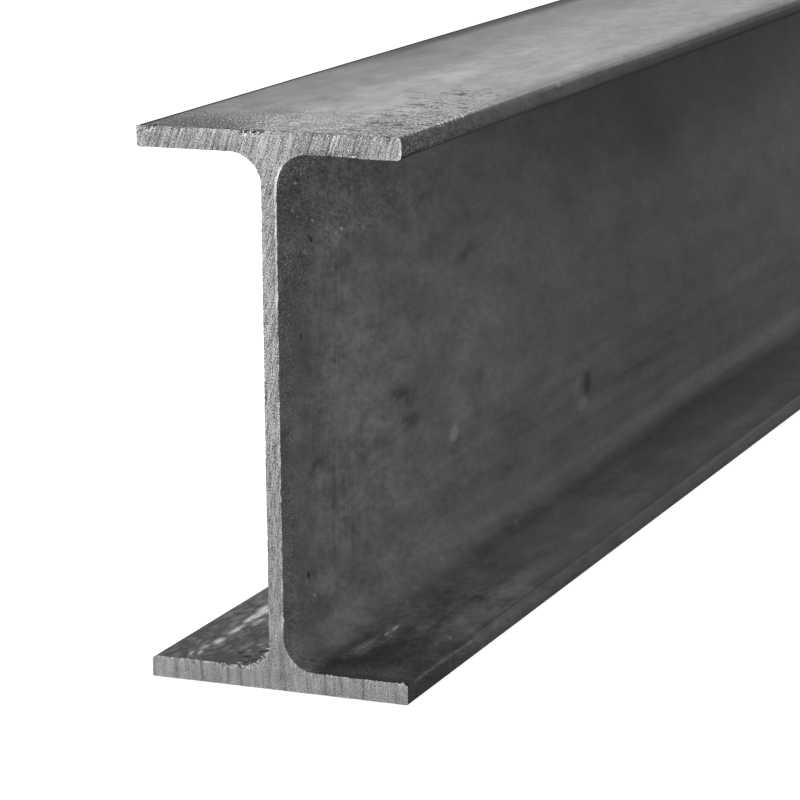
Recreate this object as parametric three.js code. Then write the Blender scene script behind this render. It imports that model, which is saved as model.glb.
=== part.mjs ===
// Hot-rolled steel I-beam, parallel flanges, saw-cut square at both ends.
//
// Units are millimetres, +Z is up. The beam stands on its lower flange and
// runs along Y. The origin is on the underside of the lower flange, on the
// web's mid-plane, half way along the length.

import * as THREE from 'three';

// ---- driving dimensions (mm) -------------------------------------------
const LENGTH = 2000;            // cut length, along Y
const DEPTH = 200;              // overall height of the section, along Z
const FLANGE_WIDTH = 100;       // overall width of both flanges, along X
const WEB_THICKNESS = 5.6;
const FLANGE_THICKNESS = 7.6;   // thin side of the rolling tolerance on 8.5
const ROOT_RADIUS = 12;         // fillet between web and flange
const TOE_RADIUS = 1.5;         // eased corner at the flange tips

const ROOT_SEGMENTS = 12;       // facets in each root fillet
const TOE_SEGMENTS = 4;         // facets in each eased toe corner

const STEEL_COLOUR = 0x4a4a4b;  // dark, almost neutral mill scale

// ---- section outline ----------------------------------------------------
// Points run counter-clockwise, seen with X to the right and Z up.

// Adds the facet corners of an arc about (cx, cz), from angle a0 to a1 in
// degrees. A falling angle gives the hollow arc of a root fillet.
function arc(points, cx, cz, radius, a0, a1, segments) {
  for (let i = 0; i <= segments; i += 1) {
    const a = THREE.MathUtils.degToRad(a0 + ((a1 - a0) * i) / segments);
    points.push(new THREE.Vector2(cx + radius * Math.cos(a), cz + radius * Math.sin(a)));
  }
}

function sectionOutline() {
  const halfWidth = FLANGE_WIDTH / 2;
  const halfWeb = WEB_THICKNESS / 2;
  const toeX = halfWidth - TOE_RADIUS;          // centre of a toe corner
  const rootX = halfWeb + ROOT_RADIUS;          // centre of a root fillet
  const lowTop = FLANGE_THICKNESS;              // upper face of the lower flange
  const highBottom = DEPTH - FLANGE_THICKNESS;  // lower face of the upper flange
  const p = [];

  // lower flange, right toe
  arc(p, toeX, TOE_RADIUS, TOE_RADIUS, -90, 0, TOE_SEGMENTS);
  arc(p, toeX, lowTop - TOE_RADIUS, TOE_RADIUS, 0, 90, TOE_SEGMENTS);
  // right side of the web, between its two root fillets
  arc(p, rootX, lowTop + ROOT_RADIUS, ROOT_RADIUS, 270, 180, ROOT_SEGMENTS);
  arc(p, rootX, highBottom - ROOT_RADIUS, ROOT_RADIUS, 180, 90, ROOT_SEGMENTS);
  // upper flange, right toe
  arc(p, toeX, highBottom + TOE_RADIUS, TOE_RADIUS, -90, 0, TOE_SEGMENTS);
  arc(p, toeX, DEPTH - TOE_RADIUS, TOE_RADIUS, 0, 90, TOE_SEGMENTS);
  // upper flange, left toe
  arc(p, -toeX, DEPTH - TOE_RADIUS, TOE_RADIUS, 90, 180, TOE_SEGMENTS);
  arc(p, -toeX, highBottom + TOE_RADIUS, TOE_RADIUS, 180, 270, TOE_SEGMENTS);
  // left side of the web
  arc(p, -rootX, highBottom - ROOT_RADIUS, ROOT_RADIUS, 90, 0, ROOT_SEGMENTS);
  arc(p, -rootX, lowTop + ROOT_RADIUS, ROOT_RADIUS, 0, -90, ROOT_SEGMENTS);
  // lower flange, left toe
  arc(p, -toeX, lowTop - TOE_RADIUS, TOE_RADIUS, 90, 180, TOE_SEGMENTS);
  arc(p, -toeX, TOE_RADIUS, TOE_RADIUS, 180, 270, TOE_SEGMENTS);
  return p;
}

// ---- beam ---------------------------------------------------------------
// The outline is drawn in the XY plane and extruded along +Z. A quarter turn
// about X stands the section up (its Y becomes Z) and lays the extrusion
// along -Y; half the length then centres it.
const geometry = new THREE.ExtrudeGeometry(new THREE.Shape(sectionOutline()), {
  depth: LENGTH,
  steps: 1,
  bevelEnabled: false,
});
geometry.rotateX(Math.PI / 2);
geometry.translate(0, LENGTH / 2, 0);

const steel = new THREE.MeshStandardMaterial({
  color: STEEL_COLOUR,
  roughness: 0.5,
  metalness: 0.85,
});

const beam = new THREE.Mesh(geometry, steel);
beam.name = 'i_beam';

const model = new THREE.Group();
model.add(beam);

export default model;
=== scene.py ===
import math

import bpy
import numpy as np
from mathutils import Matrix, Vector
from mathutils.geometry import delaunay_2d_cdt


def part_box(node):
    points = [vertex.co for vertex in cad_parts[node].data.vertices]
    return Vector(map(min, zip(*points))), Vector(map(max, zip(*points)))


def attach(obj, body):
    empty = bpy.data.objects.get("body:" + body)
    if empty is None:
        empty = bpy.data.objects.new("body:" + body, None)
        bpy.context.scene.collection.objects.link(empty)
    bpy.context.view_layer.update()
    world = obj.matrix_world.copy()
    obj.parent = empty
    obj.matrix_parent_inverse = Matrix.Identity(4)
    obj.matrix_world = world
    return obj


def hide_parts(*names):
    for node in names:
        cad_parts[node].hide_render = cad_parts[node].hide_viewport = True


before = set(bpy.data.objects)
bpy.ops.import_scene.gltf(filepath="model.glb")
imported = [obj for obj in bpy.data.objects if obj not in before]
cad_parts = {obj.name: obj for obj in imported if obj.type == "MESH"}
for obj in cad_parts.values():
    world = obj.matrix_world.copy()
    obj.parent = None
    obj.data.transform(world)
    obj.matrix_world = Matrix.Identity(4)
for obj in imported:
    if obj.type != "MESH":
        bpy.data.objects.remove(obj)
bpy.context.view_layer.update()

# Looks of the hot-rolled steel I-beam.
# One dense skin stands for the CAD node i_beam: rolled faces that wander a little,
# worn toes, saw-cut ends with burrs, teeth, chips and arc-shaped saw marks, all in
# geometry; mill scale, rubbed top face and cut steel as procedural node materials,
# the top face's lighter grey partly painted light, with painted shade and painted
# light in places on the scale and on the cuts.
# Working unit below is the millimetre; the mesh is written in metres.

node_lo, node_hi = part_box("i_beam")

# ---------------------------------------------------------------- section (mm)
LENGTH = (node_hi.y - node_lo.y) * 1000.0
DEPTH = (node_hi.z - node_lo.z) * 1000.0
WIDTH = (node_hi.x - node_lo.x) * 1000.0
HALF_L, HALF_W = LENGTH / 2, WIDTH / 2
WEB, FLANGE, ROOT = 5.6, 7.6, 12.0
HALF_WEB = WEB / 2
ROOT_X = HALF_WEB + ROOT
SAW_R, SAW_Z = 500.0, 25.0    # radius of the saw marks and the height of their centre


# ---------------------------------------------------------------- seeded noise
def _h(i, seed):
    i = np.asarray(i, np.int64)
    h = (i * 374761393 + int(seed) * 668265263 + 1442695) & 0xFFFFFFFF
    h = ((h ^ (h >> 13)) * 1274126177) & 0xFFFFFFFF
    h = ((h ^ (h >> 15)) * 2246822519) & 0xFFFFFFFF
    return ((h ^ (h >> 16)) & 0xFFFFFF) / float(0xFFFFFF) * 2.0 - 1.0


def n1(x, seed=0):
    """Smooth noise of one number, about -1 to 1."""
    x = np.asarray(x, float)
    i = np.floor(x).astype(np.int64)
    f = x - i
    w = f * f * f * (f * (f * 6 - 15) + 10)
    return _h(i, seed) * (1 - w) + _h(i + 1, seed) * w


def n2(x, y, seed=0):
    """Smooth noise of two numbers, about -1 to 1."""
    x, y = np.broadcast_arrays(np.asarray(x, float), np.asarray(y, float))
    i, j = np.floor(x).astype(np.int64), np.floor(y).astype(np.int64)
    f, g = x - i, y - j
    u = f * f * f * (f * (f * 6 - 15) + 10)
    v = g * g * g * (g * (g * 6 - 15) + 10)

    def c(a, b):
        return _h(a * 7919 + b * 104729, seed)

    return (c(i, j) * (1 - u) + c(i + 1, j) * u) * (1 - v) + (
        c(i, j + 1) * (1 - u) + c(i + 1, j + 1) * u
    ) * v


def step(x, a, b):
    """0 below a, 1 above b, smooth between; a may be above b."""
    k = np.clip((np.asarray(x, float) - a) / (b - a), 0, 1)
    return k * k * (3 - 2 * k)


def band(x, a, b, soft):
    """1 between a and b, fading over soft outside them."""
    return step(x, a - soft, a) * step(x, b + soft, b)


def bump_at(x, c, w):
    return np.exp(-(((np.asarray(x, float) - c) / w) ** 2))


def saw_u(x, z):
    """Runs across the saw marks: constant along each one."""
    return x + np.sqrt(SAW_R**2 - (z - SAW_Z) ** 2) - SAW_R


# ---------------------------------------------------------------- outline
# Counter-clockwise seen from -Y, X to the right and Z up, from the middle of the
# underside. Toe corners are worn differently, so each has its own x and z reach.
TOES = {
    "br_low": (0.5, 0.5), "br_up": (2.5, 1.2),
    "tr_low": (1.7, 2.2), "tr_up": (1.3, 3.5),
    "tl_up": (0.4, 0.5), "tl_low": (1.7, 1.9),
    "bl_up": (2.4, 1.1), "bl_low": (0.5, 0.5),
}


def line(p, q, nx, nz):
    n = max(2, int(math.hypot(q[0] - p[0], q[1] - p[1]) / 0.05) + 1)
    k = np.linspace(0, 1, n)
    return np.stack([p[0] + (q[0] - p[0]) * k, p[1] + (q[1] - p[1]) * k,
                     np.full(n, nx), np.full(n, nz)], 1)


def arc(cx, cz, rx, rz, a0, a1, inward=False):
    n = max(24, int(max(rx, rz) * abs(math.radians(a1 - a0)) / 0.04))
    a = np.radians(np.linspace(a0, a1, n))
    x, z = cx + rx * np.cos(a), cz + rz * np.sin(a)
    nx, nz = np.cos(a) / rx, np.sin(a) / rz
    m = np.hypot(nx, nz) * (-1 if inward else 1)
    return np.stack([x, z, nx / m, nz / m], 1)


def make_outline():
    t, w, d, r = TOES, HALF_W, DEPTH, ROOT
    lo, hi = FLANGE, DEPTH - FLANGE
    (a1, b1), (a2, b2) = t["br_low"], t["br_up"]
    (a3, b3), (a4, b4) = t["tr_low"], t["tr_up"]
    (a5, b5), (a6, b6) = t["tl_up"], t["tl_low"]
    (a7, b7), (a8, b8) = t["bl_up"], t["bl_low"]
    return [
        ("under", line((0, 0), (w - a1, 0), 0, -1)),
        ("toe", arc(w - a1, b1, a1, b1, -90, 0)),
        ("side", line((w, b1), (w, lo - b2), 1, 0)),
        ("toe", arc(w - a2, lo - b2, a2, b2, 0, 90)),
        ("flat", line((w - a2, lo), (ROOT_X, lo), 0, 1)),
        ("root", arc(ROOT_X, lo + r, r, r, 270, 180, True)),
        ("web", line((HALF_WEB, lo + r), (HALF_WEB, hi - r), 1, 0)),
        ("root", arc(ROOT_X, hi - r, r, r, 180, 90, True)),
        ("flat", line((ROOT_X, hi), (w - a3, hi), 0, -1)),
        ("toe", arc(w - a3, hi + b3, a3, b3, -90, 0)),
        ("side", line((w, hi + b3), (w, d - b4), 1, 0)),
        ("toe", arc(w - a4, d - b4, a4, b4, 0, 90)),
        ("top", line((w - a4, d), (-w + a5, d), 0, 1)),
        ("toe", arc(-w + a5, d - b5, a5, b5, 90, 180)),
        ("side", line((-w, d - b5), (-w, hi + b6), -1, 0)),
        ("toe", arc(-w + a6, hi + b6, a6, b6, 180, 270)),
        ("flat", line((-w + a6, hi), (-ROOT_X, hi), 0, -1)),
        ("root", arc(-ROOT_X, hi - r, r, r, 90, 0, True)),
        ("web", line((-HALF_WEB, hi - r), (-HALF_WEB, lo + r), -1, 0)),
        ("root", arc(-ROOT_X, lo + r, r, r, 0, -90, True)),
        ("flat", line((-ROOT_X, lo), (-w + a7, lo), 0, 1)),
        ("toe", arc(-w + a7, lo - b7, a7, b7, 90, 180)),
        ("side", line((-w, lo - b7), (-w, b8), -1, 0)),
        ("toe", arc(-w + a8, b8, a8, b8, 180, 270)),
        ("under", line((-w + a8, 0), (0, 0), 0, -1)),
    ]


OUTLINE = make_outline()
dense, starts, kinds, at = [], [], [], 0.0
for kind, seg in OUTLINE:
    run = np.concatenate([[0], np.cumsum(np.hypot(*np.diff(seg[:, :2], axis=0).T))])
    starts.append((at, at + run[-1]))
    kinds.append(kind)
    dense.append(np.column_stack([at + run, seg]))
    at += run[-1]
GIRTH = at
dense = np.concatenate(dense)
dense = dense[np.concatenate([[True], np.diff(dense[:, 0]) > 1e-9])]
START = {i: s for i, s in enumerate(starts)}


def outline_at(t):
    """x, z and outward normal of the section at girth positions t."""
    t = np.mod(t, GIRTH)
    x, z, nx, nz = (np.interp(t, dense[:, 0], dense[:, k]) for k in (1, 2, 3, 4))
    m = np.hypot(nx, nz)
    return x, z, nx / m, nz / m


def girth_samples(flat, root, toe, low=None):
    out = []
    for k, (kind, (a, b)) in enumerate(zip(kinds, starts)):
        if kind == "toe":
            n = toe
        elif low and k in (4, 19, 20):         # toothed edges of the lower flange
            n = round((b - a) / low)
        elif kind == "root":
            n = max(6, round((b - a) / root))
        elif kind == "side":
            n = max(3, round((b - a) / min(flat, 1.2)))
        else:
            n = max(2, round((b - a) / flat))
        out.append(a + (b - a) * np.arange(n) / n)
    return np.concatenate(out)


T_FINE = girth_samples(0.55, 0.55, 7, 0.34)
T_MID = girth_samples(1.6, 1.1, 6)
T_NEAR = girth_samples(2.6, 1.4, 5)
T_WIDE = girth_samples(4.6, 1.45, 5)


# ---------------------------------------------------------------- rolled shape
def rolled(t, x, z, nx, nz, s):
    """Outward drift of the rolled faces, mm, at distance s from the near end."""
    d = 0.06 * n2(t / 41.0, s / 170.0, 11) + 0.045 * n2(t / 15.0, s / 52.0, 12)
    d += 0.02 * n2(t / 6.0, s / 15.0, 13)
    d *= step(np.minimum(t, GIRTH - t), 2, 14)
    top = nz * (z > DEPTH - 5)
    under = -nz * (z < 5)
    side = np.abs(nx) * (np.abs(x) > HALF_W - 5)
    d = np.where((top > 0.3) | (under > 0.3) | (side > 0.3), d * 0.5, d)
    d -= 0.06 * np.clip(top, 0, 1) + 0.05 * np.clip(side, 0, 1)
    d = np.where(under > 0.3, -np.abs(d) * 0.5, d)
    # the left toe of the lower flange is a shade short
    d = d - 0.30 * np.clip(-nx, 0, 1) * (x < -HALF_W + 3) * (z < 12)
    # the right half of the upper flange is a little hollow near the root and
    # full at the toe, on its lower side
    low = (nz < -0.5) & (z > DEPTH / 2) & (x > 0)
    d = d + np.where(low, 0.42 * bump_at(x, 40, 9) - 0.22 * bump_at(x, 22, 7), 0)
    return d


def lean(x, z, s):
    """Sideways and downward set of the section, mm: the web is not quite square to
    the flanges, and the right tip of the upper flange droops away from the cut."""
    mid = step(np.abs(x), 22, 3) * step(z, 4, 16) * step(z, DEPTH - 4, DEPTH - 16)
    dx = mid * np.interp(z, [20, 100, 180], [-0.30, -0.10, 0.32])
    tip = np.clip((x - 8) / 42, 0, 1) ** 1.5 * step(z, 150, 190)
    dz = -1.0 * tip * step(s, 60, 380) * step(s, LENGTH - 150, LENGTH - 700)
    return dx, dz


def teeth(q, pitch, seed):
    """A saw-tooth row of uneven teeth, 0 to 1."""
    q = np.asarray(q, float) / pitch + 0.28 * n1(np.asarray(q, float) / (pitch * 1.7), seed)
    k = np.floor(q)
    f = q - k
    return (1 - np.abs(2 * f - 1)) ** 0.8 * (0.55 + 0.45 * _h(k.astype(np.int64), seed + 1))


def near_edge(t, x, z, nx, nz):
    """Burr outward and burr forward at the near saw cut, mm, then chip depth."""
    out = 0.05 * n1(t / 0.9, 21) + 0.035 * n1(t / 2.6, 22)
    fwd = 0.05 * n1(t / 1.1, 23)
    chip = 0.0 * t
    up = nz > 0.6
    dn = nz < -0.6
    right, left = nx > 0.6, nx < -0.6
    topf = up & (z > DEPTH / 2)
    # top edge: small scallops left of the middle, grainy right of it, chipped spots
    k = topf * (0.10 * teeth(x, 1.9, 31) * step(x, 2, -4) + 0.05 * teeth(x, 1.3, 33) * step(x, -4, 2))
    out = out + k
    rough = np.clip(0.5 + 0.9 * n1(x / 0.55, 34), 0, 1)
    chip = chip + topf * (0.22 * band(x, -11.2, -1.0, 0.5) * rough
                          + 0.18 * band(x, -45.8, -42.4, 0.3) * rough
                          + 0.28 * band(x, -34, -31, 0.7) * rough
                          + 0.22 * band(x, 12, 34, 2) * np.clip(n1(x / 0.9, 35) - 0.25, 0, 1))
    # web, right edge: a drawn-over lip, strongest high up
    webr = right & (np.abs(x) < 5)
    lip = 0.16 * band(z, 142, 187, 3) * (0.8 + 0.35 * n1(z / 2.1, 36))
    lip = lip + 0.12 * band(z, 84, 141, 4) * (0.5 + 0.7 * n1(z / 2.9, 37))
    lip = lip + 0.10 * band(z, 24, 84, 5) * np.clip(n1(z / 1.7, 38), 0, 1)
    lip = lip + 0.40 * bump_at(z, 25.8, 0.7)
    out = out + webr * lip
    fwd = fwd + webr * 0.14 * band(z, 130, 187, 4)
    webl = left & (np.abs(x) < 5)
    out = out + webl * 0.07 * n1(z / 0.8, 39)
    # upper right root: thin lip that runs on from the web
    rootr = (x > 2.7) & (x < 15) & (z > 179) & (z < 193)
    out = out + rootr * 0.16 * step(z, 190, 183)
    # lower left root: coarse torn teeth
    rootl = (x < -3.0) & (x > -15.5) & (z < 20) & (z > 5)
    out = out + rootl * band(x, -11.5, -3.0, 1.0) * (0.78 * teeth(t, 1.45, 41) - 0.12)
    out = out + rootl * band(x, -15, -11.5, 0.8) * 0.30 * teeth(t, 1.5, 43)
    # lower flange, left top edge: scallops; right top edge: finer teeth and a spike
    lowup = up & (z < 20) & (z > 5)
    out = out + lowup * (x < -12) * 0.30 * teeth(x, 1.75, 44) * band(x, -47, -14, 2)
    out = out + lowup * (x > 8) * 0.42 * teeth(x, 1.45, 46) * band(x, 13, 47, 2)
    out = out + lowup * 1.05 * bump_at(x, 48.15, 0.36)
    # lower edge of the upper flange, right half, and undersides: fine rag
    rag = dn & (z > DEPTH / 2)
    out = out + rag * 0.10 * teeth(x, 1.4, 48) * (x > 0)
    out = out + (dn & (z < 5)) * -0.05 * np.abs(n1(x / 1.2, 49))
    # toes of the upper flange: bright drawn lips
    toer = (x > HALF_W - 2.5) & (z > 190)
    out = out + toer * (0.17 + 0.08 * n1(z / 0.8, 50))
    fwd = fwd + toer * 0.12
    toel = (x < -HALF_W + 2) & (z > 190)
    out = out + toel * (0.12 + 0.08 * n1(z / 0.7, 51))
    toeb = (x > HALF_W - 2.5) & (z < 10)
    out = out + toeb * 0.05 * n1(z / 0.7, 52)
    return out, fwd, chip


def far_edge(t, x, z, nx, nz):
    """The same for the far cut: plainer, its own seeds."""
    out = 0.05 * n1(t / 1.0, 61) + 0.04 * n1(t / 3.1, 62)
    fwd = 0.05 * n1(t / 1.2, 63)
    chip = 0.45 * np.clip(n1(t / 3.3, 64) - 0.62, 0, 1) * np.clip(0.5 + n1(t / 0.6, 65), 0, 1)
    up = nz > 0.6
    out = out + up * 0.16 * teeth(x, 1.8, 66) * np.clip(0.6 + n1(x / 14.0, 67), 0, 1)
    web = (np.abs(nx) > 0.6) & (np.abs(x) < 5)
    out = out + web * (x < 0) * 0.2 * np.clip(0.4 + n1(z / 17.0, 68), 0, 1)
    root = (np.abs(x) > 3) & (np.abs(x) < 15.5) & (z < 20) & (z > 5)
    out = out + root * (x > 0) * 0.45 * teeth(t, 1.5, 69)
    toe = (np.abs(x) > HALF_W - 2.5) & (z > 190)
    out = out + toe * 0.12
    return out, fwd, chip


# long grooves and ridges left by single saw teeth: x where the mark crosses the
# middle of the flange it belongs to, half width, depth, lowest and highest z
TOP_MARKS = [
    (-47.6, 0.40, 0.10), (-40.8, 0.45, 0.26), (-36.6, 0.35, 0.15), (-34.0, 0.35, 0.10), (-31.0, 0.40, 0.08),
    (-21.8, 0.35, 0.08), (-19.4, 0.35, 0.12), (-17.6, 0.40, 0.18), (-14.4, 0.45, 0.16), (-9.2, 0.35, 0.10),
    (-4.6, 0.40, 0.20), (-3.0, 0.35, 0.12), (7.0, 0.40, 0.13), (10.6, 0.35, 0.09), (13.4, 0.40, 0.12),
    (16.4, 0.50, 0.32), (17.6, 0.35, 0.12), (19.8, 0.35, 0.10), (21.4, 0.40, 0.13), (23.6, 0.45, 0.18),
    (29.4, 0.40, 0.13), (30.4, 0.35, 0.10), (32.8, 0.50, 0.25), (38.0, 0.50, 0.12), (45.0, 0.45, 0.11),
]
LOW_MARKS = [
    (-40.2, 0.50, 0.34), (-29.8, 0.45, 0.26), (-23.0, 0.35, 0.11), (-19.6, 0.45, 0.24), (-14.2, 0.40, 0.13),
    (-8.6, 0.40, 0.09), (-3.2, 0.35, 0.10), (1.4, 0.45, 0.14), (2.8, 0.50, 0.19), (11.4, 0.40, 0.08),
    (18.2, 0.50, 0.23), (22.0, 0.40, 0.14), (24.6, 0.45, 0.17), (30.6, 0.40, 0.09), (33.0, 0.50, 0.23),
    (45.0, 0.50, 0.14),
]
TOP_RIDGES = [(-46.4, 0.40, 0.14), (-35.4, 0.35, 0.08), (-25.4, 0.40, 0.08), (-20.6, 0.35, 0.08), (-15.4, 0.35, 0.08),
              (0.0, 0.55, 0.10), (5.0, 0.40, 0.08), (14.4, 0.40, 0.12), (24.6, 0.38, 0.22), (26.0, 0.48, 0.30),
              (41.6, 0.40, 0.09)]
LOW_RIDGES = [(-38.2, 0.4, 0.08), (-26.6, 0.4, 0.07), (-17.6, 0.4, 0.10), (6.4, 0.5, 0.08), (23.0, 0.35, 0.09),
              (39.0, 0.4, 0.07)]
HI_Z, LO_Z = DEPTH - 3.8, 3.8                # where those x are read
HI_U = SAW_R - math.sqrt(SAW_R**2 - (HI_Z - SAW_Z) ** 2)
LO_U = SAW_R - math.sqrt(SAW_R**2 - (LO_Z - SAW_Z) ** 2)


def cut_relief(x, z, seed, marks):
    """Relief of a saw-cut end, mm, positive standing proud, about +-0.2."""
    u = saw_u(x, z)
    h = 0.030 * n2(u / 6.3, z / 130.0, seed) + 0.030 * n2(u / 2.1, z / 60.0, seed + 1)
    h += 0.026 * n2(u / 0.85, z / 34.0, seed + 2)
    h += 0.020 * n2(x / 1.1, z / 1.3, seed + 3)
    for high, deep, proud in ((1, TOP_MARKS, TOP_RIDGES), (0, LOW_MARKS, LOW_RIDGES)):
        show = step(z, 168, 186) if high else step(z, 30, 14)
        uu = u + (HI_U if high else LO_U)
        for c, w, d in (deep if marks else deep[::2]):
            c = c if marks else -c * 0.83 + 3
            h -= (0.55 if high else 0.25) * d * bump_at(uu, c + 0.2 * n1(z / 5.0, seed + int(abs(c) * 7)), w) * show
        for c, w, d in (proud if marks else proud[::3]):
            h += 0.45 * d * bump_at(uu, c, w) * show
    return h.clip(-0.3, 0.24)


# ---------------------------------------------------------------- painted levels
# WEB_ALONG: darker from about 120 to 420 mm past the near cut, partly painted shade for the lamps falling off along the
# beam, partly tone of the scale
WEB_ALONG = [0.95, 0.95, 1.12, 1.30, 1.22, 0.98, 0.84, 0.72, 0.95]
WEB_UP = [1.00, 1.03, 1.04, 1.06, 1.02, 1.0, 0.98]
# the upper right root painted up to nearly three times lighter near the cut: painted light standing in for light thrown
# up into it from below
ROOT_Z, ROOT_PAINTED_LIGHT = [178, 180, 181.5, 183, 186, 189], [1.0, 1.12, 1.5, 1.85, 2.4, 2.8]
LOW_ALONG = [0.30, 0.30, 0.40, 0.62, 1.15, 1.36, 1.36, 1.2, 1.0]
# TOP_ACROSS: across the upper face, darkest at the left edge: partly painted shade where the lamps' reflection on the
# face falls off
TOP_ACROSS = [0.44, 0.54, 0.62, 0.82, 0.96, 1.0, 0.90, 0.86, 0.95]
TOP_ALONG = [1.0, 1.0, 0.93, 0.88, 0.86]
CUT_UP = [0.98, 1.0, 1.0, 0.99, 1.03, 1.08, 1.02, 0.93, 0.92]

# ---------------------------------------------------------------- painted shade
# Numbers per vertex. "shade", about 1: broad light and dark passages of the scale
# on the skin, some of them painted shade and painted light (said where they are made),
# saw marks, bright burrs and painted highlights and shadows on the cut ends; the
# materials multiply it in. "sand", "mottle" and "torn" say how strong the fine grain,
# the blotches and the breaks in the surface are there.
def oval(a, b, ca, cb, ra, rb, turn=0.0, soft=0.9):
    """1 in the middle of a turned ellipse, 0 past its edge."""
    c, sn = math.cos(math.radians(turn)), math.sin(math.radians(turn))
    u, v = ((a - ca) * c + (b - cb) * sn) / ra, (-(a - ca) * sn + (b - cb) * c) / rb
    return step(np.hypot(u, v), 1.0, 1.0 - soft)


# On the right side of the web: distance along, height, half sizes, turn, strength.
# Sizes are taken on a slanted measure, 0.40 along and upright plus 0.21 along.
WEB_PATCHES = [
    (32, 75.0, 3.4, 3.6, 0, -0.50), (54, 105, 2.0, 3.6, 0, -0.26), (72, 66.5, 3.0, 3.4, 0, -0.30),
    (51, 53.5, 2.2, 3.2, 0, -0.26), (112, 84.0, 8.6, 3.6, -14, -0.82), (118, 74.8, 5.2, 4.8, 0, -0.86),
    (98, 80.0, 4.0, 2.0, 10, -0.30), (172.5, 126.2, 5.0, 4.2, 30, -0.60), (180.5, 129.4, 3.2, 4.6, 0, -0.44), (187, 106, 3.0, 5.0, 20, -0.20), (165, 136, 3.4, 2.6, 0, 0.30), (150, 133, 4.0, 3.0, 30, -0.30),
    (190.7, 74.5, 4.0, 4.4, 0, -0.50), (137, 156.7, 3.6, 3.4, 0, -0.45), (60, 120, 8, 14, 0, 0.12),
    (20, 128, 4, 30, 0, -0.10), (88, 98, 13, 14, 0, 0.14), (250, 67, 12, 5, 20, 0.14),
    (150, 52.5, 22, 3, 28, -0.22), (60, 22, 16, 4, 28, -0.14), (52, 79, 2.6, 5, 0, -0.26),
    (75, 161, 3.2, 3.4, 0, -0.24), (84, 46, 3.2, 2.6, 20, -0.26), (66, 38, 2.8, 2.4, 0, -0.24),
    (105, 128, 5, 6, 0, -0.22), (44, 146, 2.4, 7, 0, 0.08), (100, 172, 16, 6, 0, -0.10), (47, 92, 3, 9, 0, 0.22),
    (130, 104, 8, 8, 0, 0.16), (150, 160, 8, 6, 0, -0.12), (95, 61, 2.6, 3, 0, 0.22), (82, 62, 1.6, 1.6, 0, 0.24),
    (185, 150, 8, 7, 0, -0.16), (235, 118, 10, 8, 0, 0.14), (290, 135, 10, 7, 0, -0.16), (270, 95, 9, 6, 20, -0.14),
    (220, 42, 20, 2.6, 28, -0.20), (300, 33, 18, 2.4, 28, 0.18), (180, 36, 16, 2.2, 28, 0.18),
    (215, 96, 6, 5, 0, 0.14), (150, 90, 5, 6, 0, -0.16), (166, 108, 4, 5, 0, 0.14), (70, 140, 5, 4, 0, 0.12),
    (8, 32, 2.6, 4.6, 0, 0.22), (32, 33, 5.5, 5.5, 0, 0.22), (70, 11, 5, 4, 0, -0.24), (93, 30, 5, 4, 0, -0.12),
    (176, 132, 9, 8, 0, -0.12), (96, 146, 5, 4, 0, -0.18), (120, 118, 4, 4, 0, -0.14), (205, 60, 8, 4, 20, 0.14), (250, 150, 8, 6, 0, 0.12),
    (43, 154, 5.0, 14, 0, 0.52), (54, 134, 3.8, 7, 0, 0.52), (58, 114, 18, 5.5, 28, 0.38), (32, 98, 10, 5, 28, 0.30),
    (30, 90, 11, 5, 28, 0.36), (66, 90, 3.6, 14, 0, 0.46), (88, 78, 11, 7, 28, 0.56), (112, 96, 8, 5.5, 28, 0.40),
    (39, 74, 4, 4, 28, -0.40), (33, 67, 4, 5, 0, 0.46), (38, 28, 8, 6, 28, 0.60), (70, 39, 4.5, 7, 0, 0.60),
    (97, 42, 6, 4.5, 28, -0.42), (400, 148, 22, 34, 28, -0.26), (127, 161, 5.5, 7, 28, -0.42), (116, 146, 5, 5.5, 28, -0.42),
    (135, 134, 4.5, 6, 0, -0.30), (270, 178, 16, 4.5, 28, -0.32), (14, 155, 3.4, 7, 0, 0.24), (14, 57, 5, 6, 0, 0.26),
    (13, 88, 4.5, 10, 0, 0.24), (215, 73, 24, 5, 28, 0.28), (40, 58, 7, 4.5, 28, 0.26), (35, 37, 3.6, 7, 0, 0.34),
    (170, 73, 4, 4.5, 28, 0.26), (108, 68, 5, 5, 28, 0.40),
]
# on the upper face: distance along, x, half sizes, turn, strength
TOP_PATCHES = [
    (0, -30, 40, 27, 0, -0.40), (6, -13, 16, 9, 0, -0.26), (24, -32, 24, 10, 0, -0.12), (14, -46, 26, 7, 0, -0.02),
    (84, -14, 17, 6, 15, -0.22), (89, 16, 12, 3.2, 8, -0.22), (112, 6, 16, 4.5, 0, -0.18),
    (8, 6, 12, 9, 0, -0.12), (60, 17, 30, 10, 0, 0.12), (170, 2, 60, 9, 4, 0.16), (150, -30, 50, 10, 0, -0.08),
    (40, -22, 12, 7, 20, -0.16), (62, -32, 14, 6, 10, -0.12), (52, -12, 10, 5, 0, 0.12), (72, 2, 9, 4, 0, 0.12),
    (84, 44, 14, 5, 0, -0.10), (60, 38, 8, 4, 0, -0.10), (28, 36, 14, 10, 0, -0.12), (180, 22, 30, 8, 0, 0.12),
    (6, 42, 10, 6, 30, -0.10), (100, 30, 11, 5, 0, 0.12), (94, 13, 15, 5.5, 0, 0.18), (90, -6, 12, 5, 0, -0.10), (160, 12, 20, 6, 0, 0.12), (106, 46, 9, 4, 0, -0.12), (125, 40, 12, 5, 0, -0.10), (148, 12, 18, 5, 0, -0.10),
    (130, -18, 20, 6, 12, -0.16), (215, -14, 30, 7, 8, -0.14), (240, 30, 30, 6, -5, -0.14), (205, 38, 24, 5, 0, 0.10),
    (61, 27, 15, 5.5, 0, 0.46), (9, 24, 10, 4, 0, 0.46), (57, 9, 12, 8, 0, 0.30), (165, 8, 28, 10, 0, 0.28),
    (48, -15, 13, 8, 0, -0.30), (18, 8, 9, 7, 0, -0.30), (28, 43, 7, 5, 0, -0.34), (220, -36, 44, 11, 0, -0.26),
]


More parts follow.
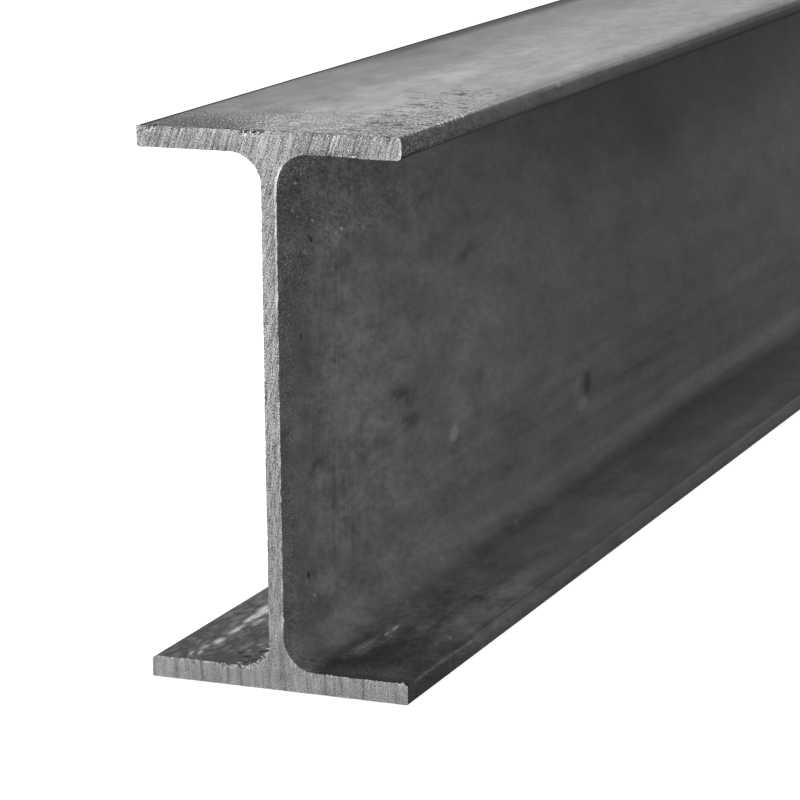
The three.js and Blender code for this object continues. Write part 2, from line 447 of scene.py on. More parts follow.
def skin_shade(t, x, z, nx, nz, s):
    """Shade, sand, mottle and torn of one ring of the skin."""
    one = np.ones_like(x)
    girth = t % GIRTH
    ws = s + 3.0 * n2(girth / 9.0, s / 9.0, 201) * min(1.0, 0.25 + s / 30)
    wq = girth + 2.2 * n2(girth / 7.0, s / 8.0, 202)
    wz, wx = z + (wq - girth), x - (wq - girth)
    gone = step(s, 1000, 520)                 # the placed passages end before mid length
    mott = 0.09 * n2(girth / 23.0, s / 60.0, 203) + 0.09 * n2(girth / 11.0, s / 26.0, 204)
    mott = mott + 0.09 * n2(girth / 5.5, s / 11.0, 205) * step(s, 330, 160)
    # right side of the web and its roots
    # along the beam: partly painted shade, the light falling off away from the near cut
    k = np.interp(s, [0, 22, 38, 52, 120, 200, 300, 420, 900], WEB_ALONG) * one
    k = k * np.interp(z, [0, 22, 60, 105, 145, 178, 200], WEB_UP)
    k = k * (1 + 0.10 * step(z, 80, 50) * step(s, 40, 20))
    va, vb = 0.40 * ws, wz + 0.21 * ws
    for sc, zc, ra, rb, turn, amt in WEB_PATCHES:
        k = k + amt * oval(va, vb, 0.40 * sc, zc + 0.21 * sc, ra, rb, turn, 0.75)
    # painted shade: the upper web darker further from the cut, under the upper flange
    k = k * (1 - 0.10 * step(z, 122, 158) * step(s, 60, 130) - 0.40 * step(z, 105, 165) * step(s, 150, 360))
    # painted shade: the lower right root darkened beyond about 50 mm past the cut, damping the lamps' reflection in it
    k = k * (1 - 0.20 * step(z, 19, 14) * step(s, 30, 80))
    # painted light on the upper right root, fading out from 60 to 170 mm past the cut
    k = k * (1 + (np.interp(z, ROOT_Z, ROOT_PAINTED_LIGHT) - 1) * step(x, 14, 9) * step(s, 170, 60))
    web = k
    # right half of the lower flange: its upper face
    low = np.interp(s, [0, 12, 40, 54, 66, 100, 200, 420, 900], LOW_ALONG) * one
    low = low * (1 + 0.35 * step(x, 33, 40) * step(s, 22, 12) + 0.14 * step(x, 33, 38) * step(s, 56, 66))
    low = low + 0.55 * oval(ws, wx, 33, 17, 19, 5.0) - 0.55 * oval(ws, wx, 66, 26, 13, 4.6)
    low = low + 0.20 * oval(ws, wx, 43, 41, 7, 4.0, 20) - 0.22 * oval(ws, wx, 92, 21, 30, 4.0)
    low = low - 0.16 * oval(ws, wx, 150, 22, 60, 6) + 0.16 * oval(ws, wx, 82, 38, 10, 4) - 0.2 * oval(ws, wx, 74, 44, 7, 2.2)
    low = low - 0.16 * oval(ws, wx, 112, 30, 9, 4) - 0.14 * oval(ws, wx, 215, 27, 40, 5)
    low = low * (1 + 1.9 * oval(ws, wx, 44, 18, 30, 8.5, 0, 0.8) + 0.5 * oval(ws, wx, 44, 33, 20, 6))
    low = low + 0.45 * oval(ws, wx, 56, 42, 10, 5) - 0.32 * oval(ws, wx, 106, 43.5, 22, 3.6)
    # the first two factors are painted shade: the flange face darkened within 8 mm of the cut, behind its burr and
    # teeth
    low = low * (1 - 0.50 * step(s, 8, 3)) * (1 - 0.6 * step(s, 2.6, 1.2)) * (1 - 0.34 * step(x, 42.5, 45.5) * step(s, 36, 14))
    # painted shade: the rounded right toe corner of the lower flange darkened from about 50 mm past the cut, damping
    # the lamps' reflection there (first factor)
    low = low * (1 - 0.42 * step(x, 47.0, 49.0) * step(s, 34, 52)) * (1 + 0.24 * band(s, 38, 72, 6) * band(x, 43, 47.5, 1.5))
    low = low + 0.30 * oval(ws, wx, 70, 31, 9, 4) + 0.28 * oval(ws, wx, 22, 16, 6, 3.6) + 0.22 * oval(ws, wx, 26, 22, 7, 4)
    low = low + 0.25 * oval(ws, wx, 50, 26, 6, 3.4)
    low = low * (1 + 0.34 * oval(ws, wx, 46, 16, 40, 3.4) + 0.16 * oval(ws, wx, 24, 19, 9, 3.4) + 0.18 * oval(ws, wx, 70, 34, 7, 4))
    low = low * (1 - 0.22 * band(s, 12, 26, 4) * band(x, 24, 50, 3)) * (1 - 0.20 * step(x, 41, 45) * step(s, 84, 128))
    # its toe
    toe = np.interp(s, [0, 34, 60, 200, 900], [0.34, 0.36, 0.86, 0.86, 1.0]) * one
    # its second factor is painted shade on the toe's upper corner from about 80 mm past the cut, where the lamps light
    # the rounding
    toe = toe * (1 + 0.52 * band(s, 54, 78, 8) * band(z, 3.8, 6.2, 0.8)) * (1 - 0.20 * step(z, 6.0, 6.8) * step(s, 72, 88))
    toe = toe * (1 + 0.16 * n2(s / 7.0, z / 6.0, 211) * step(s, 420, 300))
    toe = toe * (1 - 0.38 * step(z, 3.4, 0.6) * step(s, 20, 60)) * (1 - 0.35 * step(z, 2.0, 0.6) * step(s, 60, 20))
    # left half of the lower flange
    left = np.interp(s, [0, 30, 70, 300, 900], [0.42, 0.46, 0.60, 0.9, 1.0]) * one
    left = left - 0.18 * oval(ws, wx, 8, -22, 14, 16) - 0.12 * oval(ws, wx, 24, -46, 40, 6)
    left = left - 0.14 * oval(ws, wx, 44, -26, 12, 6) - 0.12 * oval(ws, wx, 24, -30, 10, 5)
    # the second and third factors are painted shade: the lower left root darkened within about 20 mm of the cut, and a
    # dark line right at the cut
    left = left * (1 - 0.25 * step(s, 60, 40)) * (1 - 0.6 * step(x, -17, -13.5) * step(ws, 26, 12)) * (1 - 0.4 * step(s, 4, 2))
    left = left - 0.2 * oval(ws, wx, 5, -22, 8, 7)
    left = left * (1 - 0.24 * step(x, -39.5, -43) * step(s, 66, 52)) + 0.16 * oval(ws, wx, 25, -21, 8, 5)
    left = left + 0.25 * oval(ws, wx, 19, -23, 7, 4, 20) - 0.2 * oval(ws, wx, 33, -24, 8, 5) - 0.2 * oval(ws, wx, 60, -42, 14, 3)
    # upper face
    top = np.interp(x, [-50, -38, -20, -6, 4, 26, 40, 47, 49], TOP_ACROSS) * np.interp(s, [0, 120, 220, 500, 900], TOP_ALONG)
    for sc, xc, rs, rx, turn, amt in TOP_PATCHES:
        top = top + amt * oval(ws, wx, sc, xc, rs, rx, -turn)
    top = top * (1 + 0.16 * step(x, 30, 38) * step(s, 26, 44)) * (1 - 0.42 * step(x, 41, 47.5) * step(s, 60, 130))
    # painted shade: the upper face darker towards its left edge from about 110 mm past the cut
    top = top * (1 - 0.50 * step(x, -36, -48.5) * step(s, 110, 240))
    top = top * (1 - 0.32 * step(x, -9, -20) * step(s, 42, 12) - 0.16 * step(x, -36, -42) * step(s, 70, 30))
    # its second term is painted shade along the outermost left edge of the upper face
    top = top * (1 - 0.25 * step(x, 41.5, 44.5) * step(s, 9, 3) - 0.30 * step(x, -45.8, -47.2))
    right = (x > 0).astype(float)
    w_top = step(z, DEPTH - 6.0, DEPTH - 3.5) * step(nz, 0.0, 0.35)
    w_low = np.where(x > 0, step(x, 10.0, 16.5) * (z < 19), step(z, 17, 9)) * (z > 4)
    w_toe = (x > HALF_W - 3) * (z < 12) * step(nz, 0.8, 0.2)
    inner = right * (1 - w_low) * web + right * w_low * low + (1 - right) * (w_low * left + (1 - w_low) * 1.0)
    inner = inner * (1 - w_toe) + toe * w_toe
    inner = inner * (1 - 0.16 * (x > 46) * (z > 190) * step(s, 20, 45) * step(z, 197.4, 196.2) - 0.14 * (x > 46) * (z > 190) * step(s, 34, 50) * step(s, 170, 110) * step(z, 197.4, 196.2))
    # painted shadow: a dark line along the lower edge of the upper right toe's side, where it turns under into shade,
    # and darker still near the cut (next line)
    inner = inner * (1 - 0.45 * (x > 46) * (z > 190) * step(z, 193.7, 192.8) * step(s, 340, 180))
    inner = inner * (1 - 0.55 * (x > 46) * (z > 190) * step(z, 193.8, 193.2) * step(s, 28, 14))
    inner = inner * (1 - 0.5 * (x > 48) * (z > 190) * step(s, 2.0, 0.9))
    # painted shade on the same upper corner of the right toe, from about 80 mm past the cut
    inner = inner * (1 - (0.26 - 0.16 * step(s, 96, 124)) * (x > 48.4) * (z < 12) * step(z, 6.0, 6.6) * step(s, 72, 88) * step(s, 420, 260))
    out = inner * (1 - w_top) + top * w_top
    # the outer left edge of the upper flange and the underside keep plain scale
    plain = (nz < -0.5) * (z < 4)
    out = out * (1 - plain) + plain
    out = gone * out + (1 - gone) * np.where(w_top > 0.5, 0.80, 1.0)
    shade = np.clip(out * (1 + mott), 0.05, 3.0)
    # grain, blotches, breaks
    web_r = right * (1 - w_low) * (1 - w_top)
    high = step(z, 92, 112)
    sand = np.interp(s, [0, 22, 34, 60, 120, 260], [1.0, 0.95, 0.26, 0.18, 0.12, 0.08]) * one
    sand = np.where(web_r > 0.5, sand * (0.62 + 0.38 * high), sand)
    sand = sand * (1 + 0.45 * web_r * step(s, 14, 10) - 0.36 * web_r * band(s, 13, 24, 2) * step(z, 150, 128))
    sand = sand + 1.3 * web_r * step(z, 179, 183) * step(s, 48, 26) + 0.25 * web_r * step(z, 168, 178) * step(s, 36, 24)
    sand = np.where(w_toe > 0.5, np.interp(s, [0, 30, 60, 200], [0.8, 0.6, 0.3, 0.2]), sand)
    sand_top = np.interp(s, [0, 24, 60, 100, 180], [1.0, 0.85, 0.30, 0.12, 0.03]) * np.interp(x, [-50, -30, -10, 0, 24, 36, 50], [1.75, 2.1, 1.8, 1.2, 1.2, 1.75, 1.75])
    sand_top = sand_top + 0.5 * step(x, 18, 30) * step(s, 110, 60) * step(s, 20, 40)
    sand_top = sand_top * (1 - 0.55 * step(x, -6, -22) * step(s, 28, 50))
    sand = sand * (1 - w_top) + sand_top * w_top
    mottle = np.interp(s, [0, 24, 34, 70, 130, 200, 400], [0.60, 0.60, 0.80, 0.70, 0.56, 0.46, 0.38]) * one
    mottle = mottle * (1 + 0.6 * right * w_low * step(s, 30, 60) * step(s, 160, 120))
    torn = 0.0 * one
    torn = torn + web_r * step(wz, 143, 158) * step(s, 14, 34) * step(s, 175, 50)
    torn = torn + 0.5 * web_r * step(z, 182, 190) * step(s, 60, 20)
    torn = torn + right * w_low * (0.30 + 0.60 * step(s, 46, 30)) * step(s, 170, 110)
    torn = torn + 0.25 * w_toe * step(s, 90, 50)
    torn = torn + (1 - right) * w_low * 1.0
    cracks = step(wx, 10, 27) * step(s, 130, 70) + 0.7 * step(wx, 0, 20) * step(s, 74, 88) * step(s, 150, 110)
    cracks = cracks * (0.55 + 0.45 * step(s, 6, 16))
    cracks = cracks * (1 - 0.8 * step(x, 46.8, 48.2))
    torn = torn * (1 - w_top) + np.clip(cracks, 0, 1) * w_top
    torn = torn * gone
    return shade, sand, mottle, torn


def rim(x, z, side):
    """Distance in from the right (1) or left (-1) edge of the web and its roots, mm."""
    x = (x - lean(x, z, 0.0)[0]) * side
    zr = np.minimum(z, DEPTH - z)
    return np.where(zr > FLANGE + ROOT, HALF_WEB - x,
                    np.hypot(x - ROOT_X, zr - FLANGE - ROOT) - ROOT)


def cut_shade(x, z, seed, marks):
    """Shade, sand, mottle and torn of the saw-cut ends: streaks, single marks,
    bright burrs, dark chips with their holes painted black as shadow, and painted highlights on teeth tips."""
    u = saw_u(x, z)
    one = np.ones_like(x)
    w = (0.075 * n2(x / 3.1, z / 5.0, seed + 11) + 0.05 * n2(x / 1.3, z / 9.0, seed + 12)) * step(z, 26, 14) + 0.05 * n2(u / 3.6, z / 90.0, seed + 5) + 0.04 * n2(u / 1.5, z / 30.0, seed + 6)
    w = w + 0.05 * n2(u / 0.72, z / 16.0, seed + 7) * (z > 12) + 0.04 * n2(x / 4.0, z / 4.0, seed + 8)
    for high, deep, proud in ((1, TOP_MARKS, TOP_RIDGES), (0, LOW_MARKS, LOW_RIDGES)):
        show = step(z, 170, 184) if high else step(z, 26, 14)
        uu = u + (HI_U if high else LO_U)
        slim = 0.72 if high else 1.25
        for c, half, d in (deep if marks else deep[::2]):
            c = c if marks else -c * 0.83 + 3
            at = c + 0.2 * n1(z / 5.0, seed + int(abs(c) * 7))
            w = w - min(0.56, (1.6 if high else 2.5) * d) * bump_at(uu, at, half * slim) * show * (0.72 + 0.4 * n2(x / 0.8, z / 1.4, seed + 9))
        for c, half, d in (proud if marks else proud[::3]):
            w = w + min(0.6, 1.8 * d) * bump_at(uu, c, half * slim) * show * (0.72 + 0.4 * n2(x / 0.8, z / 1.6, seed + 10))
    k = np.interp(z, [0, 4, 30, 60, 100, 140, 172, 188, 200], CUT_UP)
    # painted light: the left side of the web made lighter than the right, high up, where it catches more light
    web = (np.abs(x) < 4.5) * step(z, 60, 120) * step(z, 186, 168)
    k = k * (1 - 0.075 * web * np.clip(x, -3, 3))
    sand = np.interp(z, [0, 14, 26, 66, 90, 180, 192, 200], [0.85, 0.85, 0.90, 1.0, 1.55, 1.45, 1.2, 1.2]) * one
    sand = np.where((z < 12) & (x < -6), 0.55, sand)
    # here the mottle is the strength of the fine tooth lines
    mottle = np.interp(z, [0, 13, 30, 60, 180, 192, 200], [0.45, 0.5, 1.0, 1.35, 1.35, 1.0, 1.0]) * one
    torn = 0.0 * one
    if marks:
        k = k + 0.24 * oval(x, z, 0, 195, 15, 13, 0, 1.0)
        edge = rim(x, z, 1)
        # bright drawn lip down the right edge of the web
        run = band(z, 141, 187.5, 1.5) * (0.85 + 0.3 * n1(z / 1.3, 36)) + 0.55 * band(z, 84, 140, 3) * np.clip(0.4 + n1(z / 1.9, 37), 0, 1)
        run = run + 0.6 * band(z, 24, 84, 4) * np.clip(n1(z / 1.2, 38) - 0.05, 0, 1)
        k = k + 1.5 * run * step(edge, 0.85, 0.35) * (x > 0) * (x < 8)
        k = k + 0.9 * bump_at(z, 25.8, 0.8) * step(edge, 0.6, 0.2) * (x > 0) * (x < 4)
        # bright lip round the right toe and along the left one
        toe = step(x, HALF_W - 1.25, HALF_W - 0.75) * (z > 190) * (0.75 + 0.5 * n1(z / 0.7, 50))
        toe = np.maximum(toe, step(z, DEPTH - 1.3, DEPTH - 0.8) * band(x, HALF_W - 3.4, HALF_W, 0.4) * 0.8)
        k = k + 0.65 * toe
        k = k + 0.45 * step(x, -HALF_W + 0.85, -HALF_W + 0.35) * (z > 190) * (0.5 + 0.6 * n1(z / 0.8, 51))
        # stained spots on the upper flange, small
        for cx, cz, r in ((-44.6, 195.2, 0.9), (-38.6, 198.4, 1.0), (-38.9, 193.6, 1.1), (-33.0, 198.6, 0.7),
                          (-31.2, 198.2, 0.9), (-29.8, 197.6, 0.5), (12.0, 193.4, 1.0), (33.6, 197.0, 1.0)):
            k = k * (1 - 0.42 * oval(x, z, cx, cz, r, r, 0, 0.9))
        # thin bright burr along the top edge, broken up by dark specks
        crumb = n2(x / 0.62, z / 0.55, 236)
        brim = step(z, DEPTH - 1.5, DEPTH - 0.9)
        k = k * (1 + brim * (0.30 * band(x, -25, -12.5, 1.5) + 0.10 * band(x, -1, 34, 1.5)))
        k = k * (1 + brim * np.where(x > -1, 0.34, 0.16) * crumb)
        # painted shadow: chip holes along the top edge painted black, with painted glints between them; another row of
        # painted holes near the right toe
        hole = band(x, -10.4, -1.6, 0.5) * step(z, DEPTH - 1.7, DEPTH - 1.1) * step(crumb, 0.12, 0.30)
        k = k * (1 - 0.96 * hole) + 0.5 * band(x, -10.4, -1.6, 0.5) * brim * step(crumb, -0.30, -0.55)
        hole = step(z, DEPTH - 3.4, DEPTH - 2.6) * band(x, 44.8, 46.6, 0.3) * step(n2(x / 0.6, z / 0.6, 237), 0.25, 0.45)
        k = k * (1 - 0.8 * hole)
        # chipped places along the top edge, crumbs along the lower edge right of the root
        torn = step(z, DEPTH - 2.1, DEPTH - 1.2) * np.clip(
            band(x, -9.4, -1.6, 0.5) + 0.75 * band(x, -45.8, -42.2, 0.3)
            + 0.35 * band(x, -36, -29, 1.0) + 0.25 * band(x, 10, 34, 2.0), 0, 1)
        torn = torn * step(z, DEPTH - 2.1 + 0.9 * np.abs(n1(x / 1.7, 252)), DEPTH - 1.2)
        torn = torn + 0.55 * step(z, 194.4, 193.4) * (z > 190) * band(x, 12, 34, 1.5)
        torn = torn + 0.08 * step(z, 194.4, 193.4) * (z > 190) * band(x, -30, -14, 3)
        torn = torn + 0.5 * step(x, -HALF_W + 1.4, -HALF_W + 0.6) * (z > 190)
        # ragged lower left root, and the toothed upper edges of the lower flange
        ragged = step(rim(x, z, -1), 1.5, 0.5) * (x < -2) * (x > -ROOT_X - 0.5) * (z < 20)
        torn = torn + ragged * band(x, -15.5, -3.2, 0.6)
        torn = torn + 0.35 * step(z, 6.3, 7.0) * (z < 9) * band(x, 14, 47.5, 1.0)
        torn = torn + (z < 9) * (step(z, 6.3, 7.1) * (0.35 * band(x, -46, -16, 1.0) + 0.6 * band(x, -23, -19, 0.6)))
        # painted highlights: light tips of the teeth on the lower flange and its left root
        tip = (z > 5.5) * (z < 19) * step(z, 6.5, 7.3) * (np.abs(x) > 4)
        tip = tip * np.where(np.abs(x) > ROOT_X, 1, (np.hypot(np.abs(x) - ROOT_X, z - FLANGE - ROOT) < ROOT + 0.55))
        spot = n2(x / 0.7, z / 0.7, 235)
        k = k + 0.6 * tip * step(spot, 0.1, 0.4) - 0.3 * tip * step(spot, -0.25, -0.55)
        # painted highlights where the tips of the fine row of teeth catch the light, and on the spike at the right toe
        row = step(z, 6.9, 7.5) * (z < 9) * (0.15 + 1.1 * teeth(x, 1.45, 46) ** 2)
        k = k + 0.7 * row * band(x, 13, 47, 1.0) + 0.25 * step(z, 6.9, 7.5) * (z < 9) * band(x, -46, -16, 1.0) * teeth(x, 1.75, 44)
        k = k + 1.5 * bump_at(x, 48.15, 0.5) * (z > 7.0) * (z < 10)
        # two small gouges and a drawn scratch on the web
        k = k * (1 - 0.50 * oval(x, z, -1.2, 166.2, 0.9, 2.6, 0, 0.8)) * (1 - 0.55 * oval(x, z, 2.0, 170.4, 0.8, 1.3, 0, 0.8))
        drawn = x + 0.8 - 0.137 * (z - 110.5)
        k = k + (0.55 * bump_at(drawn, 0.0, 0.35) - 0.42 * bump_at(drawn, -0.7, 0.3)) * band(z, 98, 128, 6) * (np.abs(x) < 3)
        # duller, stained spots low in the middle
        k = k * (1 - 0.20 * oval(x, z, 1.5, 5.0, 5, 3.5, 0, 1.0)) * (1 - 0.14 * oval(x, z, -2, 12, 4, 5, 0, 1.0))
    return np.clip(k * (1 + w), 0.04, 2.2), sand, mottle, torn


# ---------------------------------------------------------------- skin
RECESS = 0.26                                 # cut faces sit this far inside the box
verts, vert_s, vert_paint = [], [], []       # paint: shade, sand, mottle, torn
faces, face_uv, face_mat = [], [], []
MILL, TOP, CUT, NEAR = 0, 1, 2, 3
NEAR_END = 800.0             # faces closer to the near cut than this carry its marks


def add_ring(ts, s, end):
    """One ring at distance s from the near (end 0) or far (end 1) cut."""
    x, z, nx, nz = outline_at(ts)
    along = s if end == 0 else LENGTH - s
    d = rolled(ts, x, z, nx, nz, along)
    y_in = RECESS + s
    if s < 5.0:
        out, fwd, chip = (near_edge if end == 0 else far_edge)(ts, x, z, nx, nz)
        lip = math.exp(-((s / 0.42) ** 2))
        fall = math.exp(-((s / 1.15) ** 1.6))
        d = d + out * lip - chip * fall
        if s == 0:
            relief = cut_relief(x, z, 71 if end == 0 else 171, end == 0)
            y_in = np.maximum(RECESS - relief - fwd - 0.35 * out.clip(0, 0.4), 0.02)
        else:
            # the rings just behind the cut follow its relief, less and less
            relief = cut_relief(x, z, 71 if end == 0 else 171, end == 0)
            y_in = y_in - relief * math.exp(-s / 0.5)
    dx, dz = lean(x, z, along)
    px = np.clip(x + nx * d + dx, -HALF_W, HALF_W)
    pz = np.clip(z + nz * d + dz, 0.0, DEPTH)
    y = (-HALF_L + y_in) if end == 0 else (HALF_L - y_in)
    first = len(verts)
    verts.extend(zip(px, np.broadcast_to(y, px.shape), pz))
    vert_s.extend([float(along)] * len(ts))
    if s < 0.2:
        vert_paint.extend(zip(*cut_shade(px, pz, 71 if end == 0 else 171, end == 0)))
    else:
        vert_paint.extend(zip(*skin_shade(ts, x, z, nx, nz, along)))
    return np.arange(first, first + len(ts)), ts


T_TOP = (START[11][0], START[13][1])         # girth range of the top face with its toes


T_LOW = (START[0][1], START[24][0])          # past these the faces are the underside's


def skin_material(t, s):
    t = t % GIRTH
    if T_TOP[0] <= t <= T_TOP[1]:
        return TOP
    if s < NEAR_END and T_LOW[0] <= t <= T_LOW[1]:
        return NEAR
    return MILL


def add_face(ids, ts, ss, mat):
    faces.append([int(i) for i in ids])
    face_uv.append(("side", ts, ss))
    face_mat.append(mat)


def join_rings(a, b, lip=False):
    """Faces between ring a (nearer the near end) and ring b, whatever their counts."""
    (ia, ta), (ib, tb) = a, b
    na, nb = len(ta), len(tb)
    sa, sb = vert_s[ia[0]], vert_s[ib[0]]
    if na == nb:
        for i in range(na):
            j = (i + 1) % na
            t0, t1 = ta[i], ta[j] + (GIRTH if j == 0 else 0)
            mat = CUT if lip else skin_material((t0 + t1) / 2, (sa + sb) / 2)
            add_face((ia[i], ib[i], ib[j], ia[j]), (t0, t0, t1, t1), (sa, sb, sb, sa), mat)
        return
    i = j = 0
    while i < na or j < nb:
        t_a = ta[i + 1] if i + 1 < na else ta[0] + GIRTH
        t_b = tb[j + 1] if j + 1 < nb else tb[0] + GIRTH
        here_a = ta[i] if i < na else ta[0] + GIRTH
        here_b = tb[j] if j < nb else tb[0] + GIRTH
        if j >= nb or (i < na and t_a <= t_b):
            tri = (ia[i % na], ib[j % nb], ia[(i + 1) % na])
            tt, ss = (here_a, here_b, t_a), (sa, sb, sa)
            i += 1
        else:
            tri = (ia[i % na], ib[j % nb], ib[(j + 1) % nb])
            tt, ss = (here_a, here_b, t_b), (sa, sb, sb)
            j += 1
        mat = skin_material(sum(tt) / 3, (sa + sb) / 2)
        add_face(tri, tt, ss, mat)


FINE = [0, 0.13, 0.32, 0.6, 1.0, 1.6, 2.5, 3.8]
MIDS = [5.6, 8.0]


def spaced(a, b, first, last):
    """Distances from a to b whose gaps grow from first to last."""
    out, s, gap = [], a, first
    while s + gap < b - gap * 0.4:
        s += gap
        out.append(s)
        gap = min(last, gap * 1.06)
    return out


rings_close = spaced(8.0, 205.0, 2.8, 4.2)
rings_near = spaced(rings_close[-1], 1000.0, 6.0, 27.0)
rings_far = spaced(8.0, 1000.0, 5.0, 27.0)

chain = []
for s in FINE:
    chain.append(add_ring(T_FINE, s, 0))
for s in MIDS:
    chain.append(add_ring(T_MID, s, 0))
for s in rings_close:
    chain.append(add_ring(T_NEAR, s, 0))
for s in rings_near:
    chain.append(add_ring(T_WIDE, s, 0))
back = []
for s in FINE:
    back.append(add_ring(T_FINE, s, 1))
for s in MIDS:
    back.append(add_ring(T_MID, s, 1))
for s in rings_far:
    back.append(add_ring(T_WIDE, s, 1))
near_ring, far_ring = chain[0], back[0]
chain += back[::-1]
for k in range(len(chain) - 1):
    join_rings(chain[k], chain[k + 1], lip=(k == 0 or k == len(chain) - 2))

verts = [tuple(map(float, v)) for v in verts]


# ---------------------------------------------------------------- saw-cut ends
def inside(x, z, m):
    """Inside the section by at least m."""
    x = x - lean(x, z, 0.0)[0]
    fl = (np.abs(x) < HALF_W - m - 0.35) & (((z > m) & (z < FLANGE - m)) | ((z < DEPTH - m - 0.15) & (z > DEPTH - FLANGE + m)))
    web = (np.abs(x) < HALF_WEB - m) & (z > 1) & (z < DEPTH - 1)
    zr = np.minimum(z, DEPTH - z)
    ax = np.abs(x)
    root = (ax < ROOT_X) & (zr < FLANGE + ROOT) & (zr > m) & (
        np.hypot(ax - ROOT_X, zr - FLANGE - ROOT) > ROOT + m)
    # keep clear of the worn corners
    keep = np.ones_like(x, bool)
    for cx, cz, (rx, rz) in (
        (HALF_W, 0, TOES["br_low"]), (HALF_W, FLANGE, TOES["br_up"]),
        (HALF_W, DEPTH - FLANGE, TOES["tr_low"]), (HALF_W, DEPTH, TOES["tr_up"]),
        (-HALF_W, DEPTH, TOES["tl_up"]), (-HALF_W, DEPTH - FLANGE, TOES["tl_low"]),
        (-HALF_W, FLANGE, TOES["bl_up"]), (-HALF_W, 0, TOES["bl_low"]),
    ):
        keep &= ((np.abs(x - cx) / (rx + m + 0.2)) + (np.abs(z - cz) / (rz + m + 0.2))) > 1
    return (fl | web | root) & keep


def add_cap(ring, end):
    ids, ts = ring
    bx = np.array([verts[i][0] for i in ids])
    bz = np.array([verts[i][2] for i in ids])
    du, dz, squeeze = 0.34, 1.25, 3.6
    us = np.arange(-90, 60, du)
    zs = np.arange(0.4, DEPTH, dz)
    U, Z = np.meshgrid(us, zs)
    U = U + 0.5 * du * (np.arange(len(zs)) % 2)[:, None]
    U = U + 0.12 * du * n2(U * 3.1, Z * 3.3, 81 + end)
    Z = Z + 0.25 * dz * n2(U * 2.3, Z * 1.9, 83 + end)
    X = U - np.sqrt(SAW_R**2 - (Z - SAW_Z) ** 2) + SAW_R
    ok = inside(X, Z, 0.42)
    # clear of chips and burrs on the cut edge
    gx, gz = X[ok], Z[ok]
    near = np.ones(len(gx), bool)
    for a in range(0, len(gx), 4000):
        dd = np.hypot((gx[a:a + 4000, None] - bx[None]), (gz[a:a + 4000, None] - bz[None])).min(1)
        near[a:a + 4000] = dd > 0.26
    gx, gz = gx[near], gz[near]
    px = np.concatenate([bx, gx])
    pz = np.concatenate([bz, gz])
    pu = saw_u(px, pz) * squeeze
    coords = [Vector((a, b)) for a, b in zip(pu, pz)]
    n = len(ids)
    got = delaunay_2d_cdt(coords, [(i, (i + 1) % n) for i in range(n)], [], 0, 1e-6, True)
    new_co, _, tris, orig = got[0], got[1], got[2], got[3]
    # keep the triangles whose middle lies in the outline
    mid = np.array([[sum(new_co[k][0] for k in t) / 3, sum(new_co[k][1] for k in t) / 3] for t in tris])
    eu, ez = pu[:n], pz[:n]
    fu, fz = np.roll(eu, -1), np.roll(ez, -1)
    within = np.zeros(len(mid), bool)
    for a in range(0, len(mid), 2000):
        mu, mz = mid[a:a + 2000, :1], mid[a:a + 2000, 1:]
        cross = (ez[None] > mz) != (fz[None] > mz)
        at = eu[None] + (mz - ez[None]) * (fu - eu)[None] / np.where(fz == ez, 1e-12, fz - ez)[None]
        within[a:a + 2000] = (cross & (mu < at)).sum(1) % 2 == 1
    tris = [t for t, w in zip(tris, within) if w]
    depth = RECESS - cut_relief(px, pz, 71 if end == 0 else 171, end == 0)
    depth = np.maximum(depth, 0.02)
    paint = np.stack(cut_shade(px, pz, 71 if end == 0 else 171, end == 0), 1)
    index = {}
    for k, o in enumerate(orig):
        i = min(o) if o else None
        if i is None:                      # a crossing the triangulation had to add
            u, z = new_co[k][0] / squeeze, new_co[k][1]
            x = u - math.sqrt(SAW_R**2 - (z - SAW_Z) ** 2) + SAW_R
            y = RECESS
            index[k] = len(verts)
            verts.append((x, -HALF_L + y if end == 0 else HALF_L - y, z))
            vert_s.append(0.0)
            vert_paint.append((1.0, 0.8, 0.8, 0.0))
        elif i < n:
            index[k] = int(ids[i])
        else:
            index[k] = len(verts)
            y = float(depth[i])
            verts.append((float(px[i]), -HALF_L + y if end == 0 else HALF_L - y, float(pz[i])))
            vert_s.append(0.0)
            vert_paint.append(tuple(paint[i]))
    for tri in tris:
        f = [index[k] for k in tri]
        if len(set(f)) < 3:
            continue
        if end == 1:
            f = f[::-1]
        faces.append(f)
        face_uv.append(("end", end, None))
        face_mat.append(CUT)
    return len(tris)


caps = [add_cap(near_ring, 0), add_cap(far_ring, 1)]

# ---------------------------------------------------------------- mesh and its map
mesh = bpy.data.meshes.new("rolled_beam")
mesh.from_pydata([(x * 0.001, y * 0.001, z * 0.001) for x, y, z in verts], [], faces)
mesh.validate()
if len(mesh.polygons) != len(faces):
    raise RuntimeError("the skin lost faces when it was checked")
mesh.polygons.foreach_set("material_index", np.array(face_mat, np.int32))
mesh.polygons.foreach_set("use_smooth", np.ones(len(faces), bool))

# Map: two half-length strips side by side (girth across, length up, the ends of
# the beam given more room than its middle), both cut ends above them.
S_KNOTS = np.array([0.0, 6.0, 150.0, HALF_L])
V_KNOTS = np.array([0.0, 0.016, 0.235, 0.690])


def strip_v(s):
    return np.interp(s, S_KNOTS, V_KNOTS)


